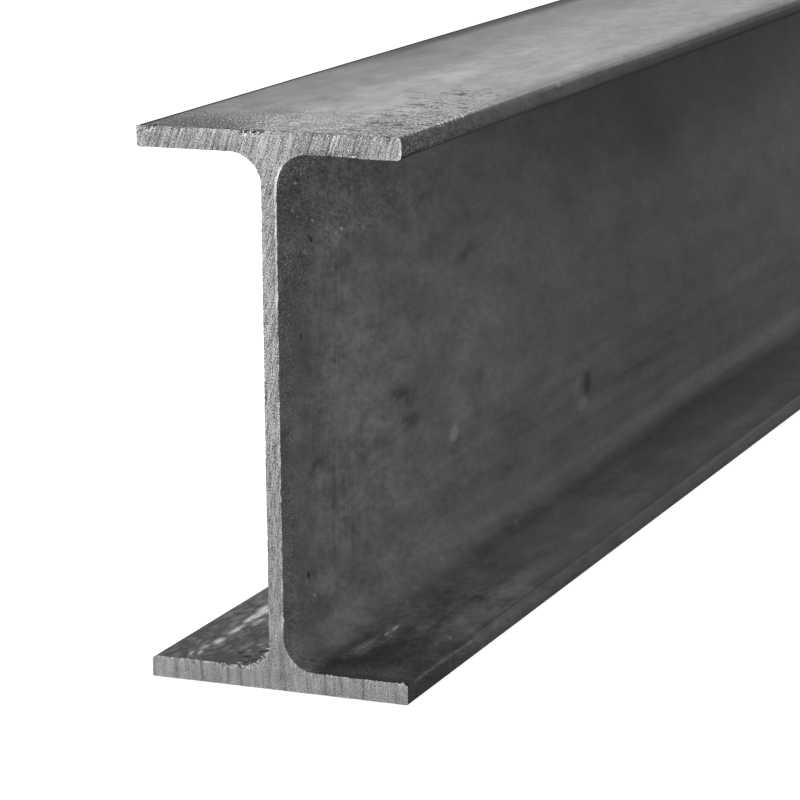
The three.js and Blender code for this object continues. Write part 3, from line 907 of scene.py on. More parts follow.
uv_layer = mesh.uv_layers.new(name="OFBake")
uv = np.zeros((len(mesh.loops), 2), np.float32)
k = 0
for f, (kind, a, b) in zip(faces, face_uv):
    n = len(f)
    if kind == "side":
        mid = sum(b) / n
        half = 0 if mid < HALF_L else 1
        for c in range(n):
            s = b[c] if half == 0 else LENGTH - b[c]
            uv[k + c] = (0.004 + 0.497 * half + 0.487 * a[c] / GIRTH, 0.004 + strip_v(s))
    else:
        for c in range(n):
            x, _, z = verts[f[c]]
            uv[k + c] = (0.006 + 0.497 * a + 0.487 * z / DEPTH, 0.715 + 0.27 * (x + HALF_W) / WIDTH)
    k += n
uv_layer.uv.foreach_set("vector", uv.ravel())
for name, values in zip(("shade", "sand", "mottle", "torn"), np.array(vert_paint, np.float32).T):
    layer = mesh.attributes.new(name, "FLOAT", "POINT")
    layer.data.foreach_set("value", np.ascontiguousarray(values))
mesh.set_sharp_from_angle(angle=math.radians(38))
mesh.update()

beam = bpy.data.objects.new("rolled_beam", mesh)
bpy.context.scene.collection.objects.link(beam)
print("beam skin:", len(mesh.vertices), "vertices,",
      sum(len(f) - 2 for f in faces), "triangles, caps", caps,
      "rings", len(T_FINE), len(T_MID), len(T_WIDE), len(chain))

# ---------------------------------------------------------------- finish levels
MILL_GREY, MILL_ROUGH, MILL_SPEC = 0.132, 0.62, 0.5
# the upper face's grey, about twice the mill grey, is rubbed scale and partly painted light for the light falling on it
# from above
TOP_RUBBED_LIT_GREY, TOP_ROUGH, TOP_SPEC = 0.255, 0.45, 0.34
CUT_GREY, CUT_ROUGH, CUT_METAL = 0.54, 0.50, 0.75
SAND_GAIN, BROAD_GAIN, BLOT_GAIN, PECK_GAIN, TOE_LEVEL = 3.4, 2.2, 1.4, 0.50, 0.9
TOP_GRAIN, TOP_SWEPT, TOP_PATCHY = 3.9, 2.6, 1.2
CUT_GRAIN, CUT_FINE, CUT_THIN = 3.3, 1.5, 0.34
DOME_LOW, DOME_HIGH, RING_TOP = 0.12, 0.35, 0.24
FLOOR_GLOW, KEY_POWER, TOP_POWER = 0.90, 110.0, 60.0

# ---------------------------------------------------------------- node helper
class Graph:
    """Writes a node tree as expressions; every value is a number or a socket."""

    def __init__(self, tree):
        self.tree = tree
        tree.nodes.clear()

    def put(self, socket, value):
        if isinstance(value, bpy.types.NodeSocket):
            self.tree.links.new(value, socket)
        else:
            socket.default_value = value

    def node(self, kind, inputs=(), **props):
        n = self.tree.nodes.new(kind)
        for key, value in props.items():
            setattr(n, key, value)
        for key, value in dict(inputs).items():
            self.put(n.inputs[key], value)
        return n

    def m(self, op, a, b=0.5, c=0.5, clamp=False):
        n = self.node("ShaderNodeMath", {0: a, 1: b, 2: c}, operation=op, use_clamp=clamp)
        return n.outputs[0]

    def add(self, *terms):
        total = terms[0]
        for t in terms[1:]:
            total = self.m("ADD", total, t)
        return total

    def mul(self, *terms):
        total = terms[0]
        for t in terms[1:]:
            total = self.m("MULTIPLY", total, t)
        return total

    def lin(self, v, gain, offset=0.0):
        return self.m("MULTIPLY_ADD", v, gain, offset)

    def ramp(self, v, a, b, lo=0.0, hi=1.0, kind="SMOOTHSTEP"):
        n = self.node("ShaderNodeMapRange", {0: v, 1: a, 2: b, 3: lo, 4: hi}, interpolation_type=kind)
        return n.outputs[0]

    def curve(self, v, points):
        """A piecewise smooth curve through (value, result) pairs, by a colour ramp."""
        a, b = points[0][0], points[-1][0]
        top = max(p[1] for p in points)
        k = self.ramp(v, a, b, kind="LINEAR")
        n = self.node("ShaderNodeValToRGB", {0: k})
        el = n.color_ramp.elements
        n.color_ramp.interpolation = "EASE"
        while len(el) < len(points):
            el.new(0.5)
        for e, (p, r) in zip(el, points):
            e.position = (p - a) / (b - a)
        for e, (p, r) in zip(el, points):
            q = r / top
            e.color = (q, q, q, 1)
        return self.m("MULTIPLY", n.outputs[0], top)

    def vec(self, op, a, b=(0, 0, 0), scale=1.0):
        n = self.node("ShaderNodeVectorMath", {0: a, 1: b}, operation=op)
        if op == "SCALE":
            self.put(n.inputs["Scale"], scale)
        return n.outputs["Value"] if op in ("LENGTH", "DOT_PRODUCT", "DISTANCE") else n.outputs["Vector"]

    def times(self, v, x, y, z):
        return self.vec("MULTIPLY", v, (x, y, z))

    def xyz(self, v):
        n = self.node("ShaderNodeSeparateXYZ", {0: v})
        return n.outputs[0], n.outputs[1], n.outputs[2]

    def join(self, x, y, z):
        return self.node("ShaderNodeCombineXYZ", {0: x, 1: y, 2: z}).outputs[0]

    def noise(self, v, detail=2.0, rough=0.5, scale=1.0, bend=0.0):
        n = self.node("ShaderNodeTexNoise", {"Vector": v, "Scale": scale, "Detail": detail,
                                             "Roughness": rough, "Distortion": bend},
                      noise_dimensions="3D")
        return n.outputs[0]

    def colour_noise(self, v, detail=2.0):
        n = self.node("ShaderNodeTexNoise", {"Vector": v, "Scale": 1.0, "Detail": detail}, noise_dimensions="3D")
        return n.outputs[1]

    def cells(self, v, scale=1.0, spread=1.0):
        n = self.node("ShaderNodeTexVoronoi", {"Vector": v, "Scale": scale, "Randomness": spread},
                      feature="F1", voronoi_dimensions="3D")
        return n.outputs[0], n.outputs[1]

    def blob(self, v, centre, radii, turn=0.0, soft=0.6):
        """1 in the middle of a turned ellipse, 0 past its edge. v is a 3-D place in
        mm; a radius of None leaves that axis out. turn is in degrees, in the plane
        of the two radii given."""
        rad = [r if r else 1e5 for r in radii]
        axis = [i for i in range(3) if not radii[i]][0]
        rot = [0.0, 0.0, 0.0]
        rot[axis] = math.radians(turn)
        n = self.node("ShaderNodeMapping", {"Vector": v, "Location": centre, "Rotation": rot, "Scale": rad},
                      vector_type="TEXTURE")
        return self.ramp(self.vec("LENGTH", n.outputs[0]), 1.0, 1.0 - soft, kind="SMOOTHSTEP")


def new_material(name):
    mat = bpy.data.materials.new(name)
    mat.use_nodes = True
    return mat, Graph(mat.node_tree)


def finish_material(g, colour, rough, height, metallic, specular, reach=1.0):
    """Principled surface: grey value, roughness and relief (mm) from nodes; what is
    the same all over is set on the shader."""
    rgb = g.join(g.m("MULTIPLY", colour, TINT[0]), g.m("MULTIPLY", colour, TINT[1]),
                 g.m("MULTIPLY", colour, TINT[2]))
    bsdf = g.node("ShaderNodeBsdfPrincipled", {"Base Color": rgb, "Roughness": rough,
                                               "Metallic": metallic, "Specular IOR Level": specular})
    if height is not None:
        b = g.node("ShaderNodeBump", {"Strength": reach, "Distance": 0.001, "Height": height})
        g.put(bsdf.inputs["Normal"], b.outputs[0])
    out = g.node("ShaderNodeOutputMaterial")
    g.put(out.inputs["Surface"], bsdf.outputs[0])


TINT = (1.0, 1.0, 1.0)


def places(g):
    """Object coordinates in mm, and the distance from the near cut."""
    tc = g.node("ShaderNodeTexCoord")
    p = g.vec("SCALE", tc.outputs["Object"], scale=1000.0)
    x, y, z = g.xyz(p)
    s = g.m("ADD", y, HALF_L)
    return p, x, s, z


def painted(g, name="shade"):
    return g.node("ShaderNodeAttribute", attribute_name=name).outputs["Fac"]


def mill_base(g, p, s):
    """Mill scale as it leaves the rolls: tone (about 1), relief in mm, roughness.
    How sandy, blotched and broken it is comes painted on the mesh."""
    sandy, blotchy, torn = painted(g, "sand"), painted(g, "mottle"), painted(g, "torn")
    x, y, z = g.xyz(p)
    q = g.join(x, g.m("MULTIPLY", s, 0.40), g.m("MULTIPLY_ADD", s, 0.21, z))
    broad = g.noise(g.vec("SCALE", q, scale=0.085), 2, 0.75)
    blot = g.noise(g.vec("SCALE", q, scale=0.42), 2, 0.70)
    line = g.noise(g.times(p, 0.42, 1 / 190, 0.42), 2, 0.55)
    sand = g.noise(g.vec("SCALE", q, scale=1.8), 1, 0.8)
    tone = g.add(g.mul(g.lin(broad, 1.0, -0.5), blotchy, BROAD_GAIN), g.mul(g.lin(blot, 1.0, -0.5), blotchy, BLOT_GAIN),
                 g.lin(line, 0.12, 1 - 0.06), g.mul(g.lin(sand, 1.0, -0.5), sandy, SAND_GAIN))
    # broken scale: dark pecks a few millimetres across, closely set
    peck = g.noise(g.vec("SCALE", q, scale=0.78), 1, 0.6)
    tone = g.m("ADD", tone, g.mul(g.lin(g.ramp(peck, 0.40, 0.60), -1.0, 0.5), torn, PECK_GAIN))
    tone = g.m("MAXIMUM", tone, 0.42)
    # pin pits, and tiny bright points where the scale has flaked
    cell_d, cell_c = g.cells(g.times(p, 0.62, 0.50, 0.62), 1.0)
    pick = g.xyz(cell_c)[0]
    close = g.ramp(sandy, 0.25, 0.95)
    pit = g.mul(g.ramp(cell_d, 0.36, 0.14), g.ramp(pick, 0.74, 0.80), close)
    fleck = g.mul(g.ramp(cell_d, 0.24, 0.10), g.ramp(pick, 0.22, 0.05), close)
    tone = g.m("MULTIPLY", tone, g.lin(pit, -0.55, 1.0))
    tone = g.m("ADD", tone, g.mul(fleck, 2.6))
    relief = g.add(g.mul(sand, g.lin(close, 0.06, 0.03)), g.lin(blot, 0.07))
    rough = g.lin(sand, 0.22, -0.11)
    return tone, relief, rough, sand, blot, torn, cell_d, pick


def fineline(g, p):
    """Unevenness along a drawn line, about 0.5."""
    return g.noise(g.times(p, 0.3, 0.11, 0.3), 2, 0.7)


# ---- mill scale: webs, roots, inner flange faces, toes, underside
def make_mill(name, near):
    mat, g = new_material(name)
    p, x, s, z = places(g)
    tone, relief, rough, sand, blot, torn, cell_d, pick = mill_base(g, p, s)
    tone = g.m("MULTIPLY", tone, painted(g))
    if near:
        # irregular edges for the placed marks
        wob = g.vec("SUBTRACT", g.colour_noise(g.vec("SCALE", p, scale=0.55), 2), (0.5, 0.5, 0.5))
        fine = g.vec("ADD", p, g.vec("SCALE", wob, scale=1.3))
        right = g.ramp(x, 0.0, 1.0)
        left = g.ramp(x, 0.0, -1.0)

        def web(sc, zc, rs, rz, turn=0.0, soft=0.7):
            return g.blob(fine, (0.0, sc - HALF_L, zc), (None, rs, rz), turn, soft)

        onweb = g.mul(right, g.ramp(x, 20.0, 12.0), g.ramp(s, NEAR_END, 450.0))
        # faint upright wipe marks a little way from the cut, broken up
        wipes = g.noise(g.times(p, 0.05, 0.30, 0.035), 2, 0.6)
        k = g.mul(g.lin(wipes, 1.1, -0.55), g.mul(g.ramp(s, 18, 34), g.ramp(s, 90, 55)), g.ramp(z, 24, 44))
        k = g.m("ADD", k, g.mul(g.ramp(g.m("ABSOLUTE", g.m("SUBTRACT", s, 46.3)), 1.1, 0.2),
                                g.mul(g.ramp(z, 24, 34), g.ramp(z, 88, 66)), -0.24))
        # soft drawn bands along the lower web, further from the cut
        drawn = g.noise(g.times(p, 0.13, 0.004, 0.13), 2, 0.65)
        k = g.m("ADD", k, g.mul(g.lin(drawn, 0.9, -0.45), g.ramp(s, 60, 120), g.ramp(z, 84, 58)))
        # gouges, dark and sunk; flecks, bright
        dark = 0.0
        for sc, zc, rs, rz, turn in ((28.3, 158.1, 3.0, 1.2, -42), (22.4, 36.8, 2.2, 1.7, -50),
                                     (18.6, 180.7, 2.9, 0.8, -14), (39.5, 180.3, 1.8, 0.8, -10), (19.2, 124.8, 1.0, 2.0, 0),
                                     (27.2, 180.0, 1.2, 0.7, -10), (30.7, 182.2, 1.1, 0.7, -10)):
            dark = g.m("ADD", web(sc, zc, rs, rz, turn, 0.6), dark)
        light = 0.0
        for sc, zc, r, amt in ((30.3, 164.2, 0.75, 1.5), (55.8, 157.4, 1.0, 1.0), (75.3, 154.3, 1.1, 0.36), (23.3, 154.6, 0.7, 1.0),
                               (13.6, 170.4, 0.7, 1.0), (27.4, 28.0, 0.75, 0.9), (17.3, 168.0, 0.6, 0.8), (24.3, 153.2, 0.6, 0.7),
                               (22.4, 186.6, 0.7, 1.0), (7.4, 152.6, 0.6, 0.8), (66.0, 161.3, 1.1, 0.2), (16.4, 179.7, 1.0, 1.5)):
            light = g.m("ADD", g.mul(web(sc, zc, r * 2.3, r * 0.85, -12, 0.8), amt), light)
        # a shallow dent on the web about 300 to 320 mm from the cut is painted only: a dark crescent of painted shadow
        # and light ovals of painted highlight beside it (the blobs from 319.5 to 299)
        k = g.add(k, g.mul(web(163, 57.6, 6.0, 4.6, 0, 0.6), 0.80), g.mul(web(319.5, 45.5, 7.5, 7.5, -35, 0.7), -0.60),
                  g.mul(web(313.5, 38.0, 9.5, 4.6, 0, 0.6), 0.40), g.mul(web(307, 47.5, 4.8, 6.5, -35, 0.8), 0.36), g.mul(web(299, 43.5, 3.2, 6.0, -35, 0.9), -0.20),
                  g.mul(dark, -1.1), g.mul(light, 2.4))
        # faint light spots low on the web and in its root (the first four): painted highlights, soft as blurred glints
        k = g.add(k, g.mul(web(142.4, 12.0, 3.2, 1.4, -12, 0.9), 0.45), g.mul(web(109.1, 9.6, 3.0, 1.3, -12, 0.9), 0.45),
                  g.mul(web(122.7, 24.4, 3.0, 1.3, -12, 0.9), 0.30), g.mul(web(96.2, 61.9, 2.8, 1.3, -12, 0.9), 0.34),
                  g.mul(web(21.0, 34.6, 1.5, 0.9, 30, 0.8), 0.9))
        tone = g.m("ADD", tone, g.mul(k, onweb))
        lowf = g.mul(g.ramp(z, 16.0, 9.0), g.ramp(z, 4.0, 6.5))

        def floor(xc, sc, rx, rs, turn=0.0, soft=0.7):
            return g.blob(fine, (xc, sc - HALF_L, 0.0), (rx, rs, None), turn, soft)

        # right side of the lower flange: one rubbed scratch
        k = g.add(g.mul(floor(11.2, 92.9, 1.3, 4.4, 25, 0.9), 0.70), g.mul(floor(11.6, 159.9, 1.4, 5.0, 25, 0.9), 0.40),
                  g.mul(floor(17.0, 160.3, 1.4, 5.0, 25, 0.9), 0.48), g.mul(floor(23.2, 159.5, 1.4, 5.0, 25, 0.9), 0.34),
                  g.mul(floor(9.7, 213.9, 1.6, 5.5, 25, 0.9), 0.45), g.mul(floor(42.8, 57.9, 1.1, 3.6, 25, 0.9), 1.0),
                  g.mul(floor(40.9, 49.1, 1.3, 3.6, 25, 0.9), 0.85))
        tone = g.m("ADD", tone, g.mul(k, g.ramp(z, 16.0, 9.0), g.ramp(z, 4.0, 6.5), right))
        k = g.add(g.mul(floor(19.1, 62.5, 1.25, 5.8, 6, 0.8), 4.3), g.mul(floor(19.0, 54.5, 1.05, 3.5, 6, 0.8), 3.2),
                  g.mul(floor(21.5, 52.0, 0.8, 3.0, 6, 0.8), 0.7))
        tone = g.m("ADD", tone, g.mul(k, lowf, right))
        # left side: rubbed bright in a broken line along the beam, dark scuffs about it
        drag = g.noise(g.times(p, 0.42, 0.15, 0.42), 3, 0.62)
        rub = g.add(g.mul(floor(-35.4, 69, 4.5, 9.5, 0, 0.9), 1.45), g.mul(floor(-35.9, 56, 2.8, 10, 0, 0.9), 1.30),
                    g.mul(floor(-31.8, 52, 2.1, 8, 0, 0.9), 0.72), g.mul(floor(-34.9, 40, 2.1, 11, 2, 0.9), 0.9),
                    g.mul(floor(-34.8, 24.5, 2.8, 7, 6, 0.9), 0.85), g.mul(floor(-36.6, 16.5, 2.2, 5, 0, 0.9), 0.6),
                    g.mul(floor(-35.0, 9.4, 1.1, 4.2, 10, 0.9), 0.85), g.mul(floor(-37.8, 7.6, 1.1, 3.8, 10, 0.9), 0.55))
        rub = g.mul(rub, g.ramp(drag, 0.26, 0.56, 0.45, 1.0), lowf, left)
        rub = g.m("ADD", rub, g.mul(floor(-16.2, 3.2, 1.9, 1.1, 0, 0.8), left, 0.8))
        lit = g.ramp(painted(g), 0.03, 0.22, 0.25, 1.0)
        scuff = g.mul(g.lin(drag, 3.2, -1.65), lowf, left, g.ramp(s, 130, 60), lit)
        tone = g.add(tone, scuff, g.mul(rub, 3.2))
        # torn, rippled skin on the lower left root beside the cut
        rip = g.noise(g.times(p, 0.16, 0.62, 0.16), 2, 0.5, bend=1.0)
        zone = g.mul(g.ramp(x, -1.0, -3.6), g.ramp(x, -22.0, -15.0), g.ramp(s, 28, 10), g.ramp(z, 30, 22))
        tone = g.m("ADD", tone, g.mul(g.lin(rip, 5.0, -2.6), zone, lit))
        relief = g.m("ADD", relief, g.mul(rip, zone, 0.9))
        # sunk and raised places there: real relief, with painted shade darkening the sunk ones and a painted highlight
        # on the raised ones
        sunk = g.add(floor(-16.6, 10.6, 2.4, 1.7, 0, 0.9), floor(-14.5, 17.8, 1.3, 2.9, 10, 0.9), floor(-12.2, 7.6, 1.6, 3.0, -20, 0.9),
                     floor(-20.8, 14.0, 1.9, 1.5, 0, 0.9), floor(-14.4, 3.7, 1.9, 1.2, 0, 0.9), floor(-14.3, 24.5, 1.2, 3.4, 0, 0.8),
                     floor(-10.2, 3.6, 1.3, 1.8, 0, 0.9))
        sunk = g.mul(g.m("MINIMUM", sunk, 1.0), left, g.ramp(z, 20, 14))
        raised = g.mul(g.add(floor(-19.2, 17.6, 2.2, 1.9, 0, 0.9), floor(-18.6, 25.6, 2.2, 3.0, 10, 0.9), floor(-15.2, 6.9, 1.2, 1.3, 0, 0.8),
                             floor(-16.2, 14.2, 1.4, 1.1, 0, 0.8)), left)
        tone = g.m("ADD", g.m("MULTIPLY", tone, g.lin(sunk, -0.85, 1.0)), g.mul(raised, 0.75))
        relief = g.m("ADD", relief, g.lin(g.m("SUBTRACT", raised, sunk), 0.35))
        rough = g.add(rough, g.mul(rub, -0.10), g.mul(sunk, 0.45), g.mul(g.ramp(s, 3.0, 1.5), g.ramp(x, 9.0, 12.0), g.ramp(z, 14.0, 10.0), 0.40))
        # a light line along the upper corner of the right toe: a painted highlight, broken up
        at = g.m("SUBTRACT", z, g.ramp(s, 30, 86, 6.7, 5.3))
        line = g.mul(g.ramp(g.m("ABSOLUTE", at), 0.72, 0.15), g.ramp(x, 48.6, 49.4), g.ramp(s, 5, 12), g.ramp(s, 200, 80))
        tone = g.m("ADD", tone, g.mul(line, g.lin(fineline(g, p), 0.7, 0.0)))
    # toe sides: closer grain across
    sides = g.ramp(g.m("ABSOLUTE", x), HALF_W - 2.4, HALF_W - 0.8)
    fur = g.noise(g.times(p, 0.2, 0.55, 0.45), 2, 0.75)
    tone = g.m("MULTIPLY", tone, g.m("ADD", g.mul(g.lin(fur, 0.9, -0.45), sides, g.ramp(s, 110, 40, 0.3, 1.0)), 1.0))
    colour = g.m("MULTIPLY", g.m("MAXIMUM", tone, 0.08), MILL_GREY)
    finish_material(g, colour, g.m("ADD", rough, MILL_ROUGH), relief, 0.0, MILL_SPEC)
    return mat


def make_top():
    """Outer face of the upper flange with its toes: the same scale, rubbed, in a lighter grey that partly stands in for
    the light falling on the upper face: painted light.
    """
    mat, g = new_material("top_rubbed_and_lit_scale")
    p, x, s, z = places(g)
    tone_side, relief, rough, sand, blot, torn, cell_d, pick = mill_base(g, p, s)
    shade, sandy = painted(g), painted(g, "sand")
    # the lighter grey of the upper face (partly painted light) goes where the surface faces up, and runs a little way
    # down the worn right toe further from the cut
    geo = g.node("ShaderNodeNewGeometry")
    nz = g.xyz(geo.outputs["Normal"])[2]
    reach = g.ramp(s, 90, 200)
    toe = g.ramp(x, 40, 44)
    flat = g.m("MAXIMUM", g.add(g.mul(g.ramp(nz, 0.55, 0.92), g.m("SUBTRACT", 1.0, toe)), g.mul(g.ramp(g.m("ADD", nz, g.ramp(s, 30, 64, -0.12, 0.0)), 0.50, 0.66), toe)),
               g.mul(g.ramp(g.m("ADD", z, g.ramp(s, 190, 260, 0.0, 0.6)), DEPTH - 2.3, DEPTH - 1.2), reach, toe))
    wob = g.vec("SUBTRACT", g.colour_noise(g.vec("SCALE", p, scale=0.42), 2), (0.5, 0.5, 0.5))
    fine = g.vec("ADD", p, g.vec("SCALE", wob, scale=1.8))

    def spot(sc, xc, rs, rx, turn=0.0, soft=0.8):
        return g.blob(fine, (xc, sc - HALF_L, 0.0), (rx, rs, None), turn, soft)

    # grain drawn out a little along a slant, broad cloudy passages under it
    slant = g.m("MULTIPLY_ADD", s, 0.42, x)
    cross = g.m("MULTIPLY_ADD", x, -0.33, s)
    grain = g.noise(g.join(g.m("MULTIPLY", slant, 1.25), g.m("MULTIPLY", cross, 0.33), g.m("MULTIPLY", z, 0.8)), 1, 0.8)
    swept = g.noise(g.join(g.m("MULTIPLY", slant, 0.17), g.m("MULTIPLY", cross, 0.26), g.m("MULTIPLY", z, 0.3)), 2, 0.6)
    patchy = g.noise(g.times(p, 0.13, 0.055, 0.1), 3, 0.8, bend=0.4)
    tone = g.m("MULTIPLY", g.lin(patchy, TOP_PATCHY, 1 - 0.5 * TOP_PATCHY), shade)
    tone = g.add(tone, g.mul(g.lin(grain, 1.0, -0.5), sandy, g.lin(shade, 0.45, 0.55), TOP_GRAIN),
                 g.mul(g.lin(swept, 1.0, -0.5), g.ramp(s, 14, 88, 1.0, 0.16), shade, TOP_SWEPT))
    # cross-wise cracks in the scale, thickest towards the right edge
    across = g.m("MULTIPLY_ADD", x, 0.35, s)
    bend = g.xyz(wob)
    c = g.join(g.m("MULTIPLY_ADD", bend[0], 0.30, g.m("MULTIPLY", x, 0.055)),
               g.m("MULTIPLY_ADD", bend[1], 0.60, g.m("MULTIPLY", across, 0.36)), 0.0)
    field = g.noise(c, 2, 0.6)
    hair = g.ramp(field, 0.47, 0.36)
    broken = g.noise(g.times(p, 0.30, 0.14, 0.2), 1, 0.6)
    hair = g.mul(hair, g.ramp(broken, 0.40, 0.54), torn)
    # dark picked-out patches, placed
    dark = 0.0
    for sc, xc, rs, rx, turn, amt in (
        (51, 29.5, 1.9, 2.8, 0, 1.0), (50, 46.5, 1.8, 3.0, 10, 0.8), (48.5, 37.5, 1.3, 4.0, -8, 0.7),
        (32, 44, 2.8, 2.2, 30, 0.9), (28, 37, 3.0, 2.6, 0, 0.9), (35, 36, 1.3, 2.6, 0, 0.7), (36, 45.3, 2.1, 1.4, 0, 0.8),
        (22.5, 43, 1.8, 2.8, 40, 0.7), (8.6, 40.0, 1.4, 4.4, 32, 0.9), (1.5, 43.5, 2.2, 1.8, 0, 0.8),
        (22.5, 27.5, 1.7, 1.4, 0, 0.9), (30, 27, 1.7, 1.4, 0, 0.7), (35, 26.5, 1.8, 1.1, 0, 0.6), (41, 22, 1.8, 1.1, 0, 0.6),
        (75.5, 43.8, 3.2, 1.6, 20, 0.8), (62, 38, 3.4, 2.6, 0, 0.5), (73, 33.5, 2.8, 1.4, 20, 0.6), (8, 7, 1.9, 0.8, 0, 0.9),
        (49, 3.6, 1.6, 0.8, 0, 0.8),
    ):
        dark = g.m("ADD", g.mul(spot(sc, xc, rs, rx, turn, 0.9), amt), dark)
    picked = g.mul(g.ramp(cell_d, 0.50, 0.22), g.ramp(pick, 0.60, 0.66),
                   g.add(g.mul(torn, 0.7), g.mul(g.ramp(s, 60, 10), 0.25)))
    scratch = g.m("MINIMUM", g.add(hair, dark, picked), 1.15)
    glint = g.mul(g.ramp(cell_d, 0.34, 0.12), g.ramp(pick, 0.24, 0.18), g.ramp(sandy, 0.4, 1.2))
    tone = g.m("MULTIPLY", tone, g.lin(scratch, -0.76, 1.0))
    tone = g.m("ADD", tone, g.mul(glint, 0.30))
    relief = g.add(relief, g.mul(grain, sandy, 0.20), g.mul(torn, field, 0.10))
    rough_top = g.add(g.lin(grain, 0.20, TOP_ROUGH - 0.10), g.mul(scratch, 0.22),
                      g.mul(g.ramp(x, -2, -16), g.ramp(s, 42, 10), 0.10))
    # side of the toe below: plain mill scale with a close upright grain
    fur = g.noise(g.times(p, 0.2, 0.75, 0.45), 2, 0.75)
    cloud = g.noise(g.times(p, 0.2, 0.10, 0.30), 2, 0.6)
    tone_side = g.m("MULTIPLY", tone_side, g.mul(g.add(g.lin(fur, 0.8, 0.10), g.lin(cloud, 0.9)), TOE_LEVEL))
    # small bright flakes turned up on the edge above the toe
    flake = 0.0
    for sc, rs, rz in ((36.6, 0.7, 0.9), (39.2, 0.5, 1.3), (43.6, 0.7, 0.7), (47.4, 0.5, 0.9), (51.0, 0.7, 0.6), (58.0, 0.9, 0.8)):
        flake = g.m("ADD", g.blob(p, (0.0, sc - HALF_L, DEPTH - 0.5), (None, rs, rz), 0, 0.6), flake)
    flake = g.mul(flake, g.ramp(x, 48.0, 48.8))
    flake = g.m("ADD", flake, g.mul(g.blob(p, (0.0, 155.5 - HALF_L, 198.6), (None, 3.4, 1.5), 0, 0.7), 0.28))
    flake = g.mul(flake, g.ramp(x, 46.5, 47.6))
    # painted shade: the left rim of the upper face darkened where it turns away from the light, and further from the
    # cut a wider band beside it
    rim = g.ramp(x, -47.4, -48.4)
    left_edge_shade = g.mul(g.ramp(x, -38, -47), g.ramp(s, 130, 290))
    # painted light: lighter along the upper face's right edge from about 10 mm past the cut, where the rounded corner
    # turns from the light; its outer millimetre darker within about 60 mm of the cut
    edge_light = g.m("MULTIPLY_ADD", g.mul(g.ramp(x, 47.4, 48.6), g.ramp(s, 8, 16)), 0.55, 1.0)
    edge_light = g.m("ADD", edge_light, g.mul(g.ramp(x, 48.5, 49.3), g.ramp(s, 64, 48), -0.40))
    # upper face in its lighter grey (partly painted light), the toe turned down in mill grey
    colour = g.add(g.mul(tone, flat, edge_light, TOP_RUBBED_LIT_GREY), g.mul(tone_side, g.m("SUBTRACT", 1.0, flat), MILL_GREY))
    # chipped in two places along the cut edge: real chip relief, with the chip holes painted black as shadow
    bite = g.noise(g.times(p, 1.1, 0.38, 1.1), 1, 0.8)
    bitten = g.mul(g.add(g.mul(g.ramp(x, -11.8, -11.0), g.ramp(x, 0.2, -1.6)), g.mul(g.ramp(x, -46.0, -45.2), g.ramp(x, -42.0, -42.8))),
                   g.ramp(s, 3.4, 1.4), flat)
    colour = g.m("MULTIPLY", colour, g.m("SUBTRACT", 1.0, g.mul(bitten, g.ramp(bite, 0.45, 0.51), 0.95)))
    # painted shadow: a thin broken dark line on the upper face along the cut edge
    cut_edge_shadow = g.mul(g.m("ADD", g.mul(g.ramp(x, -26, -22), g.ramp(x, -12, -14)), g.mul(g.ramp(x, -1, 2), g.ramp(x, 40, 34, 0.4, 0.9))),
                  g.ramp(s, 3.0, 1.6), g.ramp(g.noise(g.times(p, 0.7, 0.25, 0.9), 1, 0.6), 0.34, 0.50), flat)
    colour = g.m("MULTIPLY", colour, g.m("SUBTRACT", 1.0, g.mul(cut_edge_shadow, 0.85)))
    relief = g.m("ADD", relief, g.mul(bitten, bite, -0.6))
    colour = g.m("MULTIPLY", colour, g.m("SUBTRACT", 1.0, g.m("MAXIMUM", g.mul(rim, 0.9), g.mul(left_edge_shade, 0.35))))
    colour = g.m("MAXIMUM", g.m("ADD", colour, g.mul(flake, 0.45)), 0.012)
    rgh = g.add(g.mul(rough_top, flat), g.mul(g.m("ADD", rough, MILL_ROUGH), g.m("SUBTRACT", 1.0, flat)))
    finish_material(g, colour, g.add(rgh, g.mul(rim, 0.5), g.mul(left_edge_shade, 0.30), g.mul(bitten, 0.5), g.mul(cut_edge_shadow, 0.5)), relief, 0.0, TOP_SPEC)
    return mat


